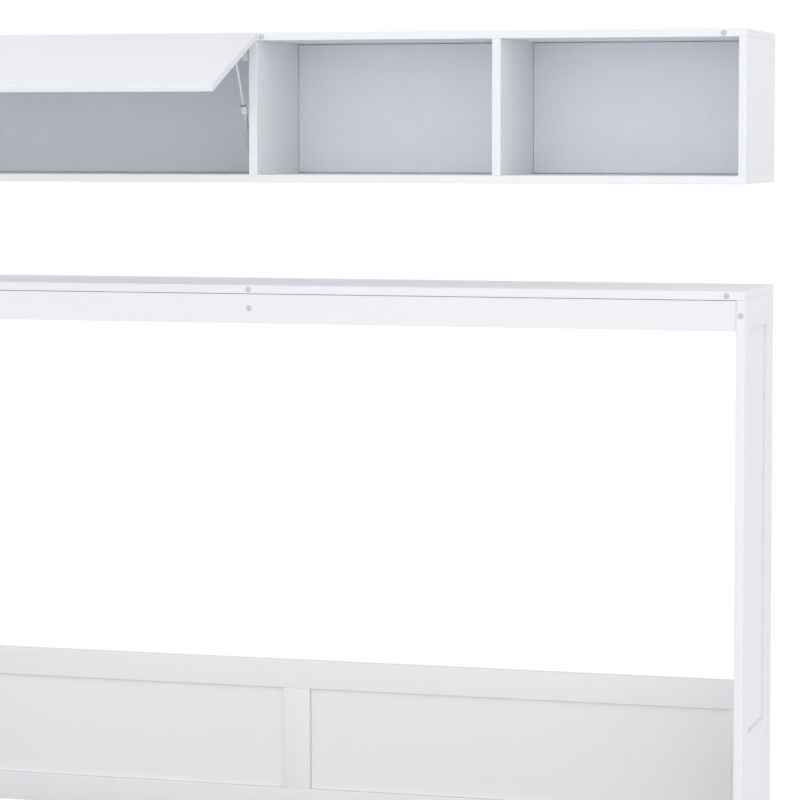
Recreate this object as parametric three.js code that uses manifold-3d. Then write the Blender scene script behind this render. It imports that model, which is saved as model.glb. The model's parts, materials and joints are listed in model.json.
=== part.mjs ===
// Horizontal wall bed with a cabinet that hangs above it on the wall.
// Millimetres. X runs along the wall, Y from the room towards the wall, Z up from the floor.
// The bed is drawn lowered and the cabinet's flap open.
import * as THREE from 'three';
import { mergeVertices } from 'three/addons/utils/BufferGeometryUtils.js';
import Module from 'manifold-3d';

const wasm = await Module();
wasm.setup();

// Frame
const WIDTH = 2110;
const DEPTH = 340;
const FRAME_HEIGHT = 1550;
const BOARD = 18;
const INSET_BOARD = 10;
const SIDE_STILE = 65;
const SIDE_TOP_RAIL = 80;
const SIDE_BASE_HEIGHT = 637;
const FRONT_RAIL_HEIGHT = 62;
const FRONT_RAIL_SETBACK = 3;
const REAR_RAIL_HEIGHT = 80;
const FLOOR_RAIL_HEIGHT = 80;
const BACKBOARD_BOTTOM = 355;
const BACKBOARD_HEIGHT = 349;
const FRAMING = 62;
const BACKBOARD_END_STILE = 67;
const BED_PANEL_RAIL = 140;
const PLINTH_HEIGHT = 150;
const PLINTH_REBATE = 4;

// Cabinet
const CABINET_GAP = 216;
const CABINET_HEIGHT = 312;
const CABINET_BOARD = 16;
const DIVIDER_BOARD = 18;
const FLAP_BAY_WIDTH = 1041.5;
const MIDDLE_BAY_WIDTH = 507.5;
const BACK_PANEL = 8;
const BACK_PANEL_SETBACK = 47;
const HANGING_RAIL_HEIGHT = 100;

// Bed, drawn closed in its own group: Y and Z are counted from the pivot
const PIVOT_SETBACK = 18;
const PIVOT_HEIGHT = 190;
const LOWERED_ANGLE = Math.PI / 2;
const BUMPER_GAP = 2;
const REVEAL = 2;
const BASE_END_CLEARANCE = 37;
const BASE_TIP_MARGIN = 88;
const BED_BELOW_PIVOT = 130;
const RAIL_WIDTH = 25;
const RAIL_HEIGHT = 60;
const RAIL_WALL = 2;
const SLATS_PER_ROLL = 16;
const SLAT_WIDTH = 60;
const SLAT_THICKNESS = 9;
const SLAT_END_GAP = 3;
const TAPE_WIDTH = 20;
const TAPE_THICKNESS = 2;
const TAPE_PLACES = [0.2, 0.8];

// Pivot plates, lift fittings and the bed's gas struts
const PLATE = 5;
const PIVOT_PIN_RADIUS = 10;
const PIVOT_PIN_REACH = 5;
const PIVOT_PIN_EDGE = 2;
const PIVOT_PLATE_LENGTH = 180;
const LEVER_BEHIND_PIVOT = 50;
const LEVER_ABOVE_PIVOT = 32;
const STRUT_ANCHOR_SETBACK = 250;
const STRUT_ANCHOR_HEIGHT = 560;
const FITTING_MARGIN = 40;
const STUD_RADIUS = 5;
const STRUT_TUBE_RADIUS = 11;
const STRUT_ROD_RADIUS = 4;
const STRUT_TUBE_LENGTH = 235;
const STRUT_EYE_RADIUS = 10;
const STRUT_EYE_WIDTH = 8;
const STRUT_PISTON_DEPTH = 34;

// Legs
const LEG_FROM_END = 255;
const LEG_SETBACK = 100;
const LEG_RADIUS = 15;
const LEG_STANDOFF = 22;
const LEG_ABOVE_PIN = 10;
const FOOT_RADIUS = 20;
const FOOT_HEIGHT = 6;
const LEG_PIN_RADIUS = 4;
const LEG_BRACKET_WALL = 3;
const LEG_BRACKET_LENGTH = 60;

// Flap door, its hinges and its gas struts
const FLAP_BOARD = 16;
const FLAP_GAP = 2.5;
const FLAP_REVEAL = 1;
const FLAP_BOTTOM_REVEAL = 14;
const FLAP_OPEN_ANGLE = THREE.MathUtils.degToRad(68);
const FLAP_AXIS_DEPTH = 5.5;
const FLAP_AXIS_DROP = 7;
const HINGE_PIN_RADIUS = 1.5;
const HINGE_EYE_RADIUS = 3.4;
const HINGE_ARM_WIDTH = 8;
const HINGE_ARM_THICKNESS = 5;
const HINGE_ARM_LENGTH = 37;
const HINGE_ARM_SLOPE = THREE.MathUtils.degToRad(60);
const HINGE_CHEEK = 3;
const HINGE_POCKET_TOP = 4;
const HINGE_POCKET_HEIGHT = 28;
const HINGE_BASE = 4;
const HINGE_BASE_LENGTH = 32;
const HINGE_BASE_HEIGHT = 24;
const FLAP_STRUT_OFFSET = 9;
const FLAP_STRUT_ANCHOR_SETBACK = 52;
const FLAP_STRUT_ANCHOR_DROP = 278;
const FLAP_STUD_DROP = 60;
const FLAP_STUD_STANDOFF = 10.5;
const FLAP_STUD_RADIUS = 3;
const FLAP_TUBE_RADIUS = 5;
const FLAP_TUBE_LENGTH = 141;
const FLAP_COLLAR_RADIUS = 6;
const FLAP_COLLAR_LENGTH = 18;
const FLAP_ROD_RADIUS = 2.5;
const FLAP_ROD_DEPTH = 56;
const FLAP_EYE_RADIUS = 5;
const FLAP_EYE_WIDTH = 6;
const FLAP_BRACKET_WALL = 2.5;
const FLAP_BRACKET_LENGTH = 30;

// Clearances: between seated pieces, between a pin and its bore, and beside a moving piece
const SEAT = 0.3;
const BORE_PLAY = 0.3;
const SIDE_PLAY = 0.5;
// How far joined bodies run into each other before they become one
const BITE = 1;
const ROUND_STEPS = 24;

// Places worked out from the sizes above
const halfWidth = WIDTH / 2;
const insideHalf = halfWidth - BOARD;
const frontRailTop = FRAME_HEIGHT - BOARD;
const cabinetBottom = FRAME_HEIGHT + CABINET_GAP;
const cabinetTop = cabinetBottom + CABINET_HEIGHT;
const cabinetInsideHalf = halfWidth - CABINET_BOARD;
const backPanelFront = DEPTH - BACK_PANEL_SETBACK - BACK_PANEL;
const flapDividerLeft = FLAP_BAY_WIDTH - cabinetInsideHalf;
const flapDividerRight = flapDividerLeft + DIVIDER_BOARD;
const openDividerLeft = flapDividerRight + MIDDLE_BAY_WIDTH;
const panelBack = -PIVOT_SETBACK - BUMPER_GAP;
const panelFront = panelBack - BOARD;
const panelBottom = PIVOT_SETBACK + BUMPER_GAP + REVEAL;
const panelTop = FRAME_HEIGHT - REVEAL - PIVOT_HEIGHT;
const railFront = panelBack + SEAT;
const railBack = railFront + RAIL_HEIGHT;
const baseHalf = insideHalf - BASE_END_CLEARANCE;
const baseBottom = -BED_BELOW_PIVOT;
const baseTop = panelTop - BASE_TIP_MARGIN;
const baseMiddle = (baseBottom + baseTop) / 2;
const fittingFace = insideHalf - PLATE;
const strutPlane = (baseHalf + PLATE + fittingFace) / 2;
const flapAxisY = -FLAP_GAP - FLAP_BOARD + FLAP_AXIS_DEPTH;
const flapAxisZ = cabinetTop - FLAP_REVEAL - FLAP_AXIS_DROP;
const flapInnerFace = FLAP_BOARD - FLAP_AXIS_DEPTH;
// The lowered bed reaches this far into the room; the origin lies midway between there and the wall
const frontReach = panelTop - PIVOT_SETBACK;
const originShift = (frontReach - DEPTH) / 2;

function finish(color, roughness, metalness) {
  return new THREE.MeshStandardMaterial({ color, roughness, metalness });
}

const whiteBoard = () => finish(0xeeeff2, 0.45, 0);
const backPanelWhite = () => finish(0xdfe1e6, 0.5, 0);
const beech = () => finish(0xd9b88a, 0.5, 0);
const greySteel = () => finish(0x9a9da1, 0.4, 0.9);
const zincSteel = () => finish(0xc4c6c9, 0.35, 1);

// Turns an outline drawn in Y and Z into a geometry that runs along X
const fromYZ = new THREE.Matrix4().makeBasis(
  new THREE.Vector3(0, 1, 0),
  new THREE.Vector3(0, 0, 1),
  new THREE.Vector3(1, 0, 0),
);

// A board that fills the given spans, each a low and a high value
function board(spanX, spanY, spanZ) {
  const spans = [spanX, spanY, spanZ];
  const sizes = spans.map(([low, high]) => high - low);
  const centre = spans.map(([low, high]) => (low + high) / 2);
  return new THREE.BoxGeometry(...sizes).translate(...centre);
}

// A span measured outwards from the middle, on the right (side 1) or mirrored to the left (side -1)
function across(side, inner, outer) {
  return side > 0 ? [inner, outer] : [-outer, -inner];
}

// A span measured from a face, in the direction given by side
function from(face, side, near, far) {
  return side > 0 ? [face + near, face + far] : [face - far, face - near];
}

function rectangle([left, right], [low, high]) {
  const corners = [[left, low], [right, low], [right, high], [left, high]];
  return corners.map(([x, y]) => new THREE.Vector2(x, y));
}

function outline(points, holes = []) {
  const shape = new THREE.Shape(points);
  shape.holes = holes.map((hole) => new THREE.Path(hole));
  return shape;
}

function extrude(shape, depth) {
  return new THREE.ExtrudeGeometry(shape, { depth, bevelEnabled: false });
}

// A plate whose outline is drawn in Y and Z, filling a span along X
function plateAlongX(shape, [low, high]) {
  return extrude(shape, high - low).applyMatrix4(fromYZ).translate(low, 0, 0);
}

function pinAlongX(radius, [low, high], y, z) {
  const pin = new THREE.CylinderGeometry(radius, radius, high - low, ROUND_STEPS);
  return pin.rotateZ(Math.PI / 2).translate((low + high) / 2, y, z);
}

// A body turned about Z; the profile is a list of radius and height
function turned(profile) {
  const points = profile.map(([radius, height]) => new THREE.Vector2(radius, height));
  return new THREE.LatheGeometry(points, ROUND_STEPS).rotateX(Math.PI / 2);
}

function solid(geometry) {
  const plain = geometry.clone();
  plain.deleteAttribute('normal');
  plain.deleteAttribute('uv');
  const merged = mergeVertices(plain, 1e-4);
  const vertProperties = new Float32Array(merged.attributes.position.array);
  const triVerts = new Uint32Array(merged.index.array);
  return new wasm.Manifold(new wasm.Mesh({ numProp: 3, vertProperties, triVerts }));
}

function geometryOf(manifold) {
  const mesh = manifold.getMesh();
  const geometry = new THREE.BufferGeometry();
  geometry.setAttribute('position', new THREE.BufferAttribute(mesh.vertProperties, 3));
  geometry.setIndex(new THREE.BufferAttribute(mesh.triVerts, 1));
  return geometry;
}

function joined(first, ...others) {
  return geometryOf(others.reduce((whole, next) => whole.add(solid(next)), solid(first)));
}

function cut(first, ...others) {
  return geometryOf(others.reduce((whole, next) => whole.subtract(solid(next)), solid(first)));
}

function place(group, name, geometry, material) {
  const mesh = new THREE.Mesh(geometry, material);
  mesh.name = name;
  group.add(mesh);
}

// The two sides of the object, with the word that starts the names of their pieces
const SIDES = [{ side: -1, word: 'left' }, { side: 1, word: 'right' }];

function buildSides(frame) {
  const depthSpan = [SIDE_STILE, DEPTH - SIDE_STILE];
  const heightSpan = [SIDE_BASE_HEIGHT, FRAME_HEIGHT - SIDE_TOP_RAIL];
  const shape = outline(rectangle([0, DEPTH], [0, frontRailTop]), [rectangle(depthSpan, heightSpan)]);
  for (const { side, word } of SIDES) {
    place(frame, `${word}_side_frame`, plateAlongX(shape, across(side, insideHalf, halfWidth)), whiteBoard());
    const insetSpan = across(side, insideHalf, insideHalf + INSET_BOARD);
    place(frame, `${word}_side_inset`, board(insetSpan, depthSpan, heightSpan), whiteBoard());
  }
}

function buildTopAndRails(frame) {
  const between = [-insideHalf, insideHalf];
  const rearSpan = [DEPTH - BOARD, DEPTH];
  const railSpan = [FRONT_RAIL_SETBACK, FRONT_RAIL_SETBACK + BOARD];
  const topSpan = [frontRailTop, FRAME_HEIGHT];
  place(frame, 'top_board', board([-halfWidth, halfWidth], [0, DEPTH], topSpan), whiteBoard());
  const frontRail = board(between, railSpan, [frontRailTop - FRONT_RAIL_HEIGHT, frontRailTop]);
  place(frame, 'front_rail', frontRail, whiteBoard());
  const rearRail = board(between, rearSpan, [frontRailTop - REAR_RAIL_HEIGHT, frontRailTop]);
  place(frame, 'rear_top_rail', rearRail, whiteBoard());
  place(frame, 'rear_floor_rail', board(between, rearSpan, [0, FLOOR_RAIL_HEIGHT]), whiteBoard());
}

// The backboard is a framed panel: rails run through, stiles stand between them
function buildBackboard(frame) {
  const top = BACKBOARD_BOTTOM + BACKBOARD_HEIGHT;
  const openSpan = [BACKBOARD_BOTTOM + FRAMING, top - FRAMING];
  const frameSpan = [DEPTH - BOARD, DEPTH];
  const insetSpan = [DEPTH - INSET_BOARD, DEPTH];
  const between = [-insideHalf, insideHalf];
  const stileEdge = FRAMING / 2;
  place(frame, 'backboard_top_rail', board(between, frameSpan, [openSpan[1], top]), whiteBoard());
  const bottomRail = board(between, frameSpan, [BACKBOARD_BOTTOM, openSpan[0]]);
  place(frame, 'backboard_bottom_rail', bottomRail, whiteBoard());
  place(frame, 'backboard_centre_stile', board([-stileEdge, stileEdge], frameSpan, openSpan), whiteBoard());
  for (const { side, word } of SIDES) {
    const stileSpan = across(side, insideHalf - BACKBOARD_END_STILE, insideHalf);
    const panelSpan = across(side, stileEdge, insideHalf - BACKBOARD_END_STILE);
    place(frame, `backboard_${word}_stile`, board(stileSpan, frameSpan, openSpan), whiteBoard());
    place(frame, `backboard_${word}_panel`, board(panelSpan, insetSpan, openSpan), whiteBoard());
  }
}

// The plinth lies in the plane of the closed bed's panel, rebated where the bed's base passes behind it
function buildPlinth(frame) {
  const front = -BUMPER_GAP - BOARD;
  const points = [
    [-halfWidth, front],
    [halfWidth, front],
    [halfWidth, 0],
    [insideHalf, 0],
    [insideHalf, -PLINTH_REBATE],
    [-insideHalf, -PLINTH_REBATE],
    [-insideHalf, 0],
    [-halfWidth, 0],
  ];
  const shape = outline(points.map(([x, y]) => new THREE.Vector2(x, y)));
  place(frame, 'plinth_panel', extrude(shape, PLINTH_HEIGHT), whiteBoard());
}

// A steel plate on each side that holds the bed's pivot pin and the upper stud of a gas strut
function buildLiftFittings(frame) {
  const near = PIVOT_SETBACK - PIVOT_PIN_RADIUS - PIVOT_PIN_EDGE;
  const points = [
    [near, PIVOT_HEIGHT - FITTING_MARGIN],
    [PIVOT_SETBACK + FITTING_MARGIN, PIVOT_HEIGHT - FITTING_MARGIN],
    [STRUT_ANCHOR_SETBACK + FITTING_MARGIN, STRUT_ANCHOR_HEIGHT - FITTING_MARGIN],
    [STRUT_ANCHOR_SETBACK + FITTING_MARGIN, STRUT_ANCHOR_HEIGHT + FITTING_MARGIN],
    [STRUT_ANCHOR_SETBACK - FITTING_MARGIN, STRUT_ANCHOR_HEIGHT + FITTING_MARGIN],
    [near, PIVOT_HEIGHT + FITTING_MARGIN],
  ];
  const shape = outline(points.map(([y, z]) => new THREE.Vector2(y, z)));
  const studEnd = strutPlane - STRUT_EYE_WIDTH / 2 - SIDE_PLAY;
  for (const { side, word } of SIDES) {
    const plate = plateAlongX(shape, across(side, fittingFace, insideHalf));
    const pinSpan = across(side, baseHalf - PIVOT_PIN_REACH, fittingFace + BITE);
    const pin = pinAlongX(PIVOT_PIN_RADIUS, pinSpan, PIVOT_SETBACK, PIVOT_HEIGHT);
    const studSpan = across(side, studEnd, fittingFace + BITE);
    const stud = pinAlongX(STUD_RADIUS, studSpan, STRUT_ANCHOR_SETBACK, STRUT_ANCHOR_HEIGHT);
    place(frame, `${word}_lift_fitting`, joined(plate, pin, stud), zincSteel());
  }
}

// A hollow steel rail along X
function crossRail(spanX, spanZ) {
  const hollow = rectangle(
    [railFront + RAIL_WALL, railBack - RAIL_WALL],
    [spanZ[0] + RAIL_WALL, spanZ[1] - RAIL_WALL],
  );
  return plateAlongX(outline(rectangle([railFront, railBack], spanZ), [hollow]), spanX);
}

// A hollow steel rail along Z at one end of the bed, with a hole for the pivot pin in its outer wall
function endRail(side) {
  const spanX = across(side, baseHalf - RAIL_WIDTH, baseHalf);
  const hollow = rectangle(
    [spanX[0] + RAIL_WALL, spanX[1] - RAIL_WALL],
    [railFront + RAIL_WALL, railBack - RAIL_WALL],
  );
  const shape = outline(rectangle(spanX, [railFront, railBack]), [hollow]);
  const rail = extrude(shape, baseTop - baseBottom).translate(0, 0, baseBottom);
  const holeSpan = across(side, baseHalf - RAIL_WALL - BITE, baseHalf + BITE);
  return cut(rail, pinAlongX(PIVOT_PIN_RADIUS + BORE_PLAY, holeSpan, 0, 0));
}

function buildBedBase(bed) {
  const inner = baseHalf - RAIL_WIDTH - SEAT;
  const between = [-inner, inner];
  const halfRail = RAIL_WIDTH / 2;
  const frontRail = crossRail(between, [baseTop - RAIL_WIDTH, baseTop]);
  place(bed, 'bed_front_rail', frontRail, greySteel());
  const rearRail = crossRail(between, [baseBottom, baseBottom + RAIL_WIDTH]);
  place(bed, 'bed_rear_rail', rearRail, greySteel());
  const beam = crossRail(between, [baseMiddle - halfRail, baseMiddle + halfRail]);
  place(bed, 'bed_centre_beam', beam, greySteel());
  for (const { side, word } of SIDES) {
    place(bed, `bed_${word}_rail`, endRail(side), greySteel());
  }
}

// A roll of slats held at an even pitch by two textile tapes, lying on the rails
function slatRoll([low, high]) {
  const face = railBack + SEAT;
  const pitch = (2 * (baseHalf - RAIL_WIDTH)) / SLATS_PER_ROLL;
  const slats = [];
  for (let index = 0; index < SLATS_PER_ROLL; index += 1) {
    const middle = RAIL_WIDTH - baseHalf + pitch * (index + 0.5);
    const spanX = [middle - SLAT_WIDTH / 2, middle + SLAT_WIDTH / 2];
    slats.push(board(spanX, [face, face + SLAT_THICKNESS], [low, high]));
  }
  const reach = baseHalf - RAIL_WIDTH - (pitch - SLAT_WIDTH) / 2 - BITE;
  const tapeTop = face + SLAT_THICKNESS - BITE;
  const tapes = TAPE_PLACES.map((share) => {
    const middle = low + (high - low) * share;
    const spanZ = [middle - TAPE_WIDTH / 2, middle + TAPE_WIDTH / 2];
    return board([-reach, reach], [tapeTop - TAPE_THICKNESS, tapeTop], spanZ);
  });
  return joined(...slats, ...tapes);
}

function buildSlats(bed) {
  const rearSpan = [baseBottom + SLAT_END_GAP, baseMiddle - SLAT_END_GAP];
  const frontSpan = [baseMiddle + SLAT_END_GAP, baseTop - SLAT_END_GAP];
  place(bed, 'slats_rear', slatRoll(rearSpan), beech());
  place(bed, 'slats_front', slatRoll(frontSpan), beech());
}

// The panel that closes the front when the bed is up
function buildBedPanel(bed) {
  const middle = FRAMING / 2;
  const openZ = [panelBottom + BED_PANEL_RAIL, panelTop - BED_PANEL_RAIL];
  const whole = board([-halfWidth, halfWidth], [panelFront, panelBack], [panelBottom, panelTop]);
  const openings = SIDES.map(({ side }) => {
    const spanX = across(side, middle, halfWidth - FRAMING);
    return board(spanX, [panelFront - BITE, panelBack + BITE], openZ);
  });
  place(bed, 'bed_panel_frame', cut(whole, ...openings), whiteBoard());
  for (const { side, word } of SIDES) {
    const spanX = across(side, middle + SEAT, halfWidth - FRAMING - SEAT);
    const spanZ = [openZ[0] + SEAT, openZ[1] - SEAT];
    const inset = board(spanX, [panelBack - INSET_BOARD, panelBack], spanZ);
    place(bed, `bed_panel_${word}_inset`, inset, whiteBoard());
  }
}

// A plate on the outer face of each end rail, with the pivot's bore and the lower stud of a gas strut
function buildPivotPlates(bed) {
  const bottom = -LEVER_BEHIND_PIVOT - FITTING_MARGIN;
  const spanY = [railFront + RAIL_WALL, railBack - RAIL_WALL];
  const studEnd = strutPlane - STRUT_EYE_WIDTH / 2 - SIDE_PLAY;
  for (const { side, word } of SIDES) {
    const spanX = across(side, baseHalf + SEAT, baseHalf + PLATE);
    const plate = board(spanX, spanY, [bottom, bottom + PIVOT_PLATE_LENGTH]);
    const boreSpan = across(side, baseHalf - BITE, baseHalf + PLATE + BITE);
    const bored = cut(plate, pinAlongX(PIVOT_PIN_RADIUS + BORE_PLAY, boreSpan, 0, 0));
    const studSpan = across(side, baseHalf + BITE, studEnd);
    const stud = pinAlongX(STUD_RADIUS, studSpan, LEVER_ABOVE_PIVOT, -LEVER_BEHIND_PIVOT);
    place(bed, `bed_${word}_pivot_plate`, joined(bored, stud), zincSteel());
  }
}

// A leg hangs from a pin in its bracket, so it stands upright wherever the bed is
function buildLegs(bed) {
  const pinY = panelFront - LEG_STANDOFF;
  const pinZ = panelTop - LEG_SETBACK;
  const footDrop = PIVOT_HEIGHT + pinY;
  const cheekInner = LEG_RADIUS + SIDE_PLAY;
  const cheekOuter = cheekInner + LEG_BRACKET_WALL;
  const baseSpan = [panelFront - SEAT - LEG_BRACKET_WALL, panelFront - SEAT];
  const bracketZ = [pinZ - LEG_BRACKET_LENGTH / 2, pinZ + LEG_BRACKET_LENGTH / 2];
  const cheekY = [pinY - LEG_PIN_RADIUS - LEG_BRACKET_WALL, panelFront - SEAT];
  const cheekZ = [pinZ - LEG_RADIUS, pinZ + LEG_RADIUS];
  for (const { side, word } of SIDES) {
    const middle = side * (halfWidth - LEG_FROM_END);
    const base = board([middle - cheekOuter, middle + cheekOuter], baseSpan, bracketZ);
    const cheeks = SIDES.map((each) => board(from(middle, each.side, cheekInner, cheekOuter), cheekY, cheekZ));
    const pinSpan = [middle - cheekOuter + BITE, middle + cheekOuter - BITE];
    const pin = pinAlongX(LEG_PIN_RADIUS, pinSpan, pinY, pinZ);
    place(bed, `${word}_leg_bracket`, joined(base, ...cheeks, pin), zincSteel());

    const hanger = new THREE.Group();
    hanger.position.set(middle, pinY, pinZ);
    hanger.rotation.x = -LOWERED_ANGLE;
    const shaft = turned([
      [0, -footDrop],
      [FOOT_RADIUS, -footDrop],
      [FOOT_RADIUS, FOOT_HEIGHT - footDrop],
      [LEG_RADIUS, FOOT_HEIGHT - footDrop],
      [LEG_RADIUS, LEG_ABOVE_PIN],
      [0, LEG_ABOVE_PIN],
    ]);
    const bore = pinAlongX(LEG_PIN_RADIUS + BORE_PLAY, [-cheekInner, cheekInner], 0, 0);
    place(hanger, `${word}_leg`, cut(shaft, bore), greySteel());
    bed.add(hanger);
  }
}

// A gas strut's tube along +Z from its eye: closed behind the eye, open at the gland that guides the rod
function strutTube({ radius, rod, length, eyeRadius, eyeWidth, studRadius, wall, collar }) {
  const inside = radius - wall;
  const gland = length - collar.length / 2;
  const barrel = turned([
    [0, eyeRadius - BITE],
    [radius, eyeRadius - BITE],
    [radius, length - collar.length],
    [collar.radius, length - collar.length],
    [collar.radius, length],
    [rod + BORE_PLAY, length],
    [rod + BORE_PLAY, gland],
    [inside, gland],
    [inside, eyeRadius + wall],
    [0, eyeRadius + wall],
  ]);
  const eye = pinAlongX(eyeRadius, [-eyeWidth / 2, eyeWidth / 2], 0, 0);
  const bore = pinAlongX(studRadius + BORE_PLAY, [-eyeWidth, eyeWidth], 0, 0);
  return cut(joined(barrel, eye), bore);
}

// A gas strut's rod along +Z: its head runs inside the tube, its eye lies at the open end
function strutRod({ rod, head, headLength, start, end, eyeRadius, eyeWidth, studRadius }) {
  const bar = turned([
    [0, start],
    [head, start],
    [head, start + headLength],
    [rod, start + headLength],
    [rod, end - eyeRadius + BITE],
    [0, end - eyeRadius + BITE],
  ]);
  const eye = pinAlongX(eyeRadius, [-eyeWidth / 2, eyeWidth / 2], 0, end);
  const bore = pinAlongX(studRadius + BORE_PLAY, [-eyeWidth, eyeWidth], 0, end);
  return cut(joined(bar, eye), bore);
}

// A group whose +Z points from one place in Y and Z to another
function aimed(x, [fromY, fromZ], [toY, toZ]) {
  const group = new THREE.Group();
  group.position.set(x, fromY, fromZ);
  group.rotation.x = Math.atan2(fromY - toY, toZ - fromZ);
  return group;
}

// The bed's gas struts run from the lift fittings down to the pivot plates
function buildBedStruts(frame) {
  const anchor = [STRUT_ANCHOR_SETBACK, STRUT_ANCHOR_HEIGHT];
  const lever = [PIVOT_SETBACK + LEVER_BEHIND_PIVOT, PIVOT_HEIGHT + LEVER_ABOVE_PIVOT];
  const length = Math.hypot(anchor[0] - lever[0], anchor[1] - lever[1]);
  const common = {
    rod: STRUT_ROD_RADIUS,
    eyeRadius: STRUT_EYE_RADIUS,
    eyeWidth: STRUT_EYE_WIDTH,
    studRadius: STUD_RADIUS,
  };
  for (const { side, word } of SIDES) {
    const strut = aimed(side * strutPlane, anchor, lever);
    const tube = strutTube({
      ...common,
      radius: STRUT_TUBE_RADIUS,
      length: STRUT_TUBE_LENGTH,
      wall: RAIL_WALL,
      collar: { radius: STRUT_TUBE_RADIUS, length: STRUT_EYE_RADIUS },
    });
    const rod = strutRod({
      ...common,
      head: STRUT_TUBE_RADIUS - RAIL_WALL - BORE_PLAY,
      headLength: STRUT_EYE_RADIUS,
      start: STRUT_PISTON_DEPTH,
      end: length,
    });
    place(strut, `bed_strut_tube_${word}`, tube, greySteel());
    place(strut, `bed_strut_rod_${word}`, rod, zincSteel());
    frame.add(strut);
  }
}

function buildCabinet(cabinet) {
  const insideSpanZ = [cabinetBottom + CABINET_BOARD, cabinetTop - CABINET_BOARD];
  const fullSpanX = [-halfWidth, halfWidth];
  const depthSpan = [0, DEPTH];
  const between = [-cabinetInsideHalf, cabinetInsideHalf];
  const backSpan = [backPanelFront, backPanelFront + BACK_PANEL];
  const top = board(fullSpanX, depthSpan, [insideSpanZ[1], cabinetTop]);
  place(cabinet, 'cabinet_top', top, whiteBoard());
  const bottom = board(fullSpanX, depthSpan, [cabinetBottom, insideSpanZ[0]]);
  place(cabinet, 'cabinet_bottom', bottom, whiteBoard());
  for (const { side, word } of SIDES) {
    const sideSpan = across(side, cabinetInsideHalf, halfWidth);
    place(cabinet, `cabinet_${word}_side`, board(sideSpan, depthSpan, insideSpanZ), whiteBoard());
  }
  const dividers = { cabinet_flap_divider: flapDividerLeft, cabinet_open_divider: openDividerLeft };
  for (const [name, left] of Object.entries(dividers)) {
    const divider = board([left, left + DIVIDER_BOARD], [0, backPanelFront], insideSpanZ);
    place(cabinet, name, divider, whiteBoard());
  }
  place(cabinet, 'cabinet_back_panel', board(between, backSpan, insideSpanZ), backPanelWhite());
  const railSpanY = [backSpan[1], backSpan[1] + BOARD];
  const railSpanZ = [insideSpanZ[1] - HANGING_RAIL_HEIGHT, insideSpanZ[1]];
  place(cabinet, 'cabinet_hanging_rail', board(between, railSpanY, railSpanZ), whiteBoard());
}

// The two faces that carry the flap's fittings, and the way from each into the bay
const FLAP_FACES = [
  { face: -cabinetInsideHalf, inward: 1, word: 'left' },
  { face: flapDividerLeft, inward: -1, word: 'right' },
];

const armSpan = (face, inward) => from(face, inward, HINGE_BASE - BITE, HINGE_BASE + HINGE_ARM_WIDTH);

// A hinge arm: a base on the cabinet's face and a sloping arm that ends in an eye on the flap's axis
function buildHingeArm(cabinet, { face, inward, word }) {
  const half = HINGE_ARM_THICKNESS / 2;
  const spanX = armSpan(face, inward);
  const bar = board(spanX, [0, HINGE_ARM_LENGTH], [-half, half]);
  const eye = pinAlongX(HINGE_EYE_RADIUS, spanX, 0, 0);
  const bore = pinAlongX(HINGE_PIN_RADIUS + BORE_PLAY, [spanX[0] - BITE, spanX[1] + BITE], 0, 0);
  const arm = cut(joined(bar, eye), bore);
  arm.rotateX(-HINGE_ARM_SLOPE).translate(0, flapAxisY, flapAxisZ);
  const baseY = flapAxisY + HINGE_ARM_LENGTH * Math.cos(HINGE_ARM_SLOPE) - HINGE_ARM_THICKNESS;
  const baseZ = flapAxisZ - HINGE_ARM_LENGTH * Math.sin(HINGE_ARM_SLOPE) + HINGE_ARM_THICKNESS;
  const base = board(
    from(face, inward, 0, HINGE_BASE),
    [baseY, baseY + HINGE_BASE_LENGTH],
    [baseZ - HINGE_BASE_HEIGHT, baseZ],
  );
  place(cabinet, `flap_hinge_arm_${word}`, joined(base, arm), zincSteel());
}

// The lower bracket of a flap strut: a plate on the cabinet's face with a stud
function buildStrutFoot(cabinet, { face, inward, word }) {
  const y = FLAP_STRUT_ANCHOR_SETBACK;
  const z = cabinetTop - FLAP_STRUT_ANCHOR_DROP;
  const half = FLAP_BRACKET_LENGTH / 2;
  const quarter = half / 2;
  const plate = board(from(face, inward, 0, FLAP_BRACKET_WALL), [y - half, y + half], [z - quarter, z + quarter]);
  const studEnd = FLAP_STRUT_OFFSET + FLAP_EYE_WIDTH / 2 + SIDE_PLAY;
  const stud = pinAlongX(FLAP_STUD_RADIUS, from(face, inward, FLAP_BRACKET_WALL - BITE, studEnd), y, z);
  place(cabinet, `flap_strut_foot_${word}`, joined(plate, stud), zincSteel());
}

// A hinge cup sunk in the door: two cheeks joined by a web and by the pin that the arm turns on
function buildHingeCup(flap, { face, inward, word }) {
  const spanX = armSpan(face, inward);
  const slotX = [spanX[0] - SIDE_PLAY, spanX[1] + SIDE_PLAY];
  const cupX = [slotX[0] - HINGE_CHEEK, slotX[1] + HINGE_CHEEK];
  const deep = -HINGE_EYE_RADIUS - SIDE_PLAY + SEAT;
  const cupZ = [HINGE_POCKET_TOP - HINGE_POCKET_HEIGHT + SEAT, HINGE_POCKET_TOP - SEAT];
  const block = board(cupX, [deep, flapInnerFace - SEAT], cupZ);
  const openPart = board(slotX, [0, flapInnerFace + BITE], [cupZ[0] - BITE, cupZ[1] + BITE]);
  const eyePart = board(slotX, [deep - BITE, BITE], [-HINGE_EYE_RADIUS - HINGE_ARM_THICKNESS, cupZ[1] + BITE]);
  const pin = pinAlongX(HINGE_PIN_RADIUS, [slotX[0] - BITE, slotX[1] + BITE], 0, 0);
  place(flap, `flap_hinge_cup_${word}`, joined(cut(block, openPart, eyePart), pin), zincSteel());
}

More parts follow.
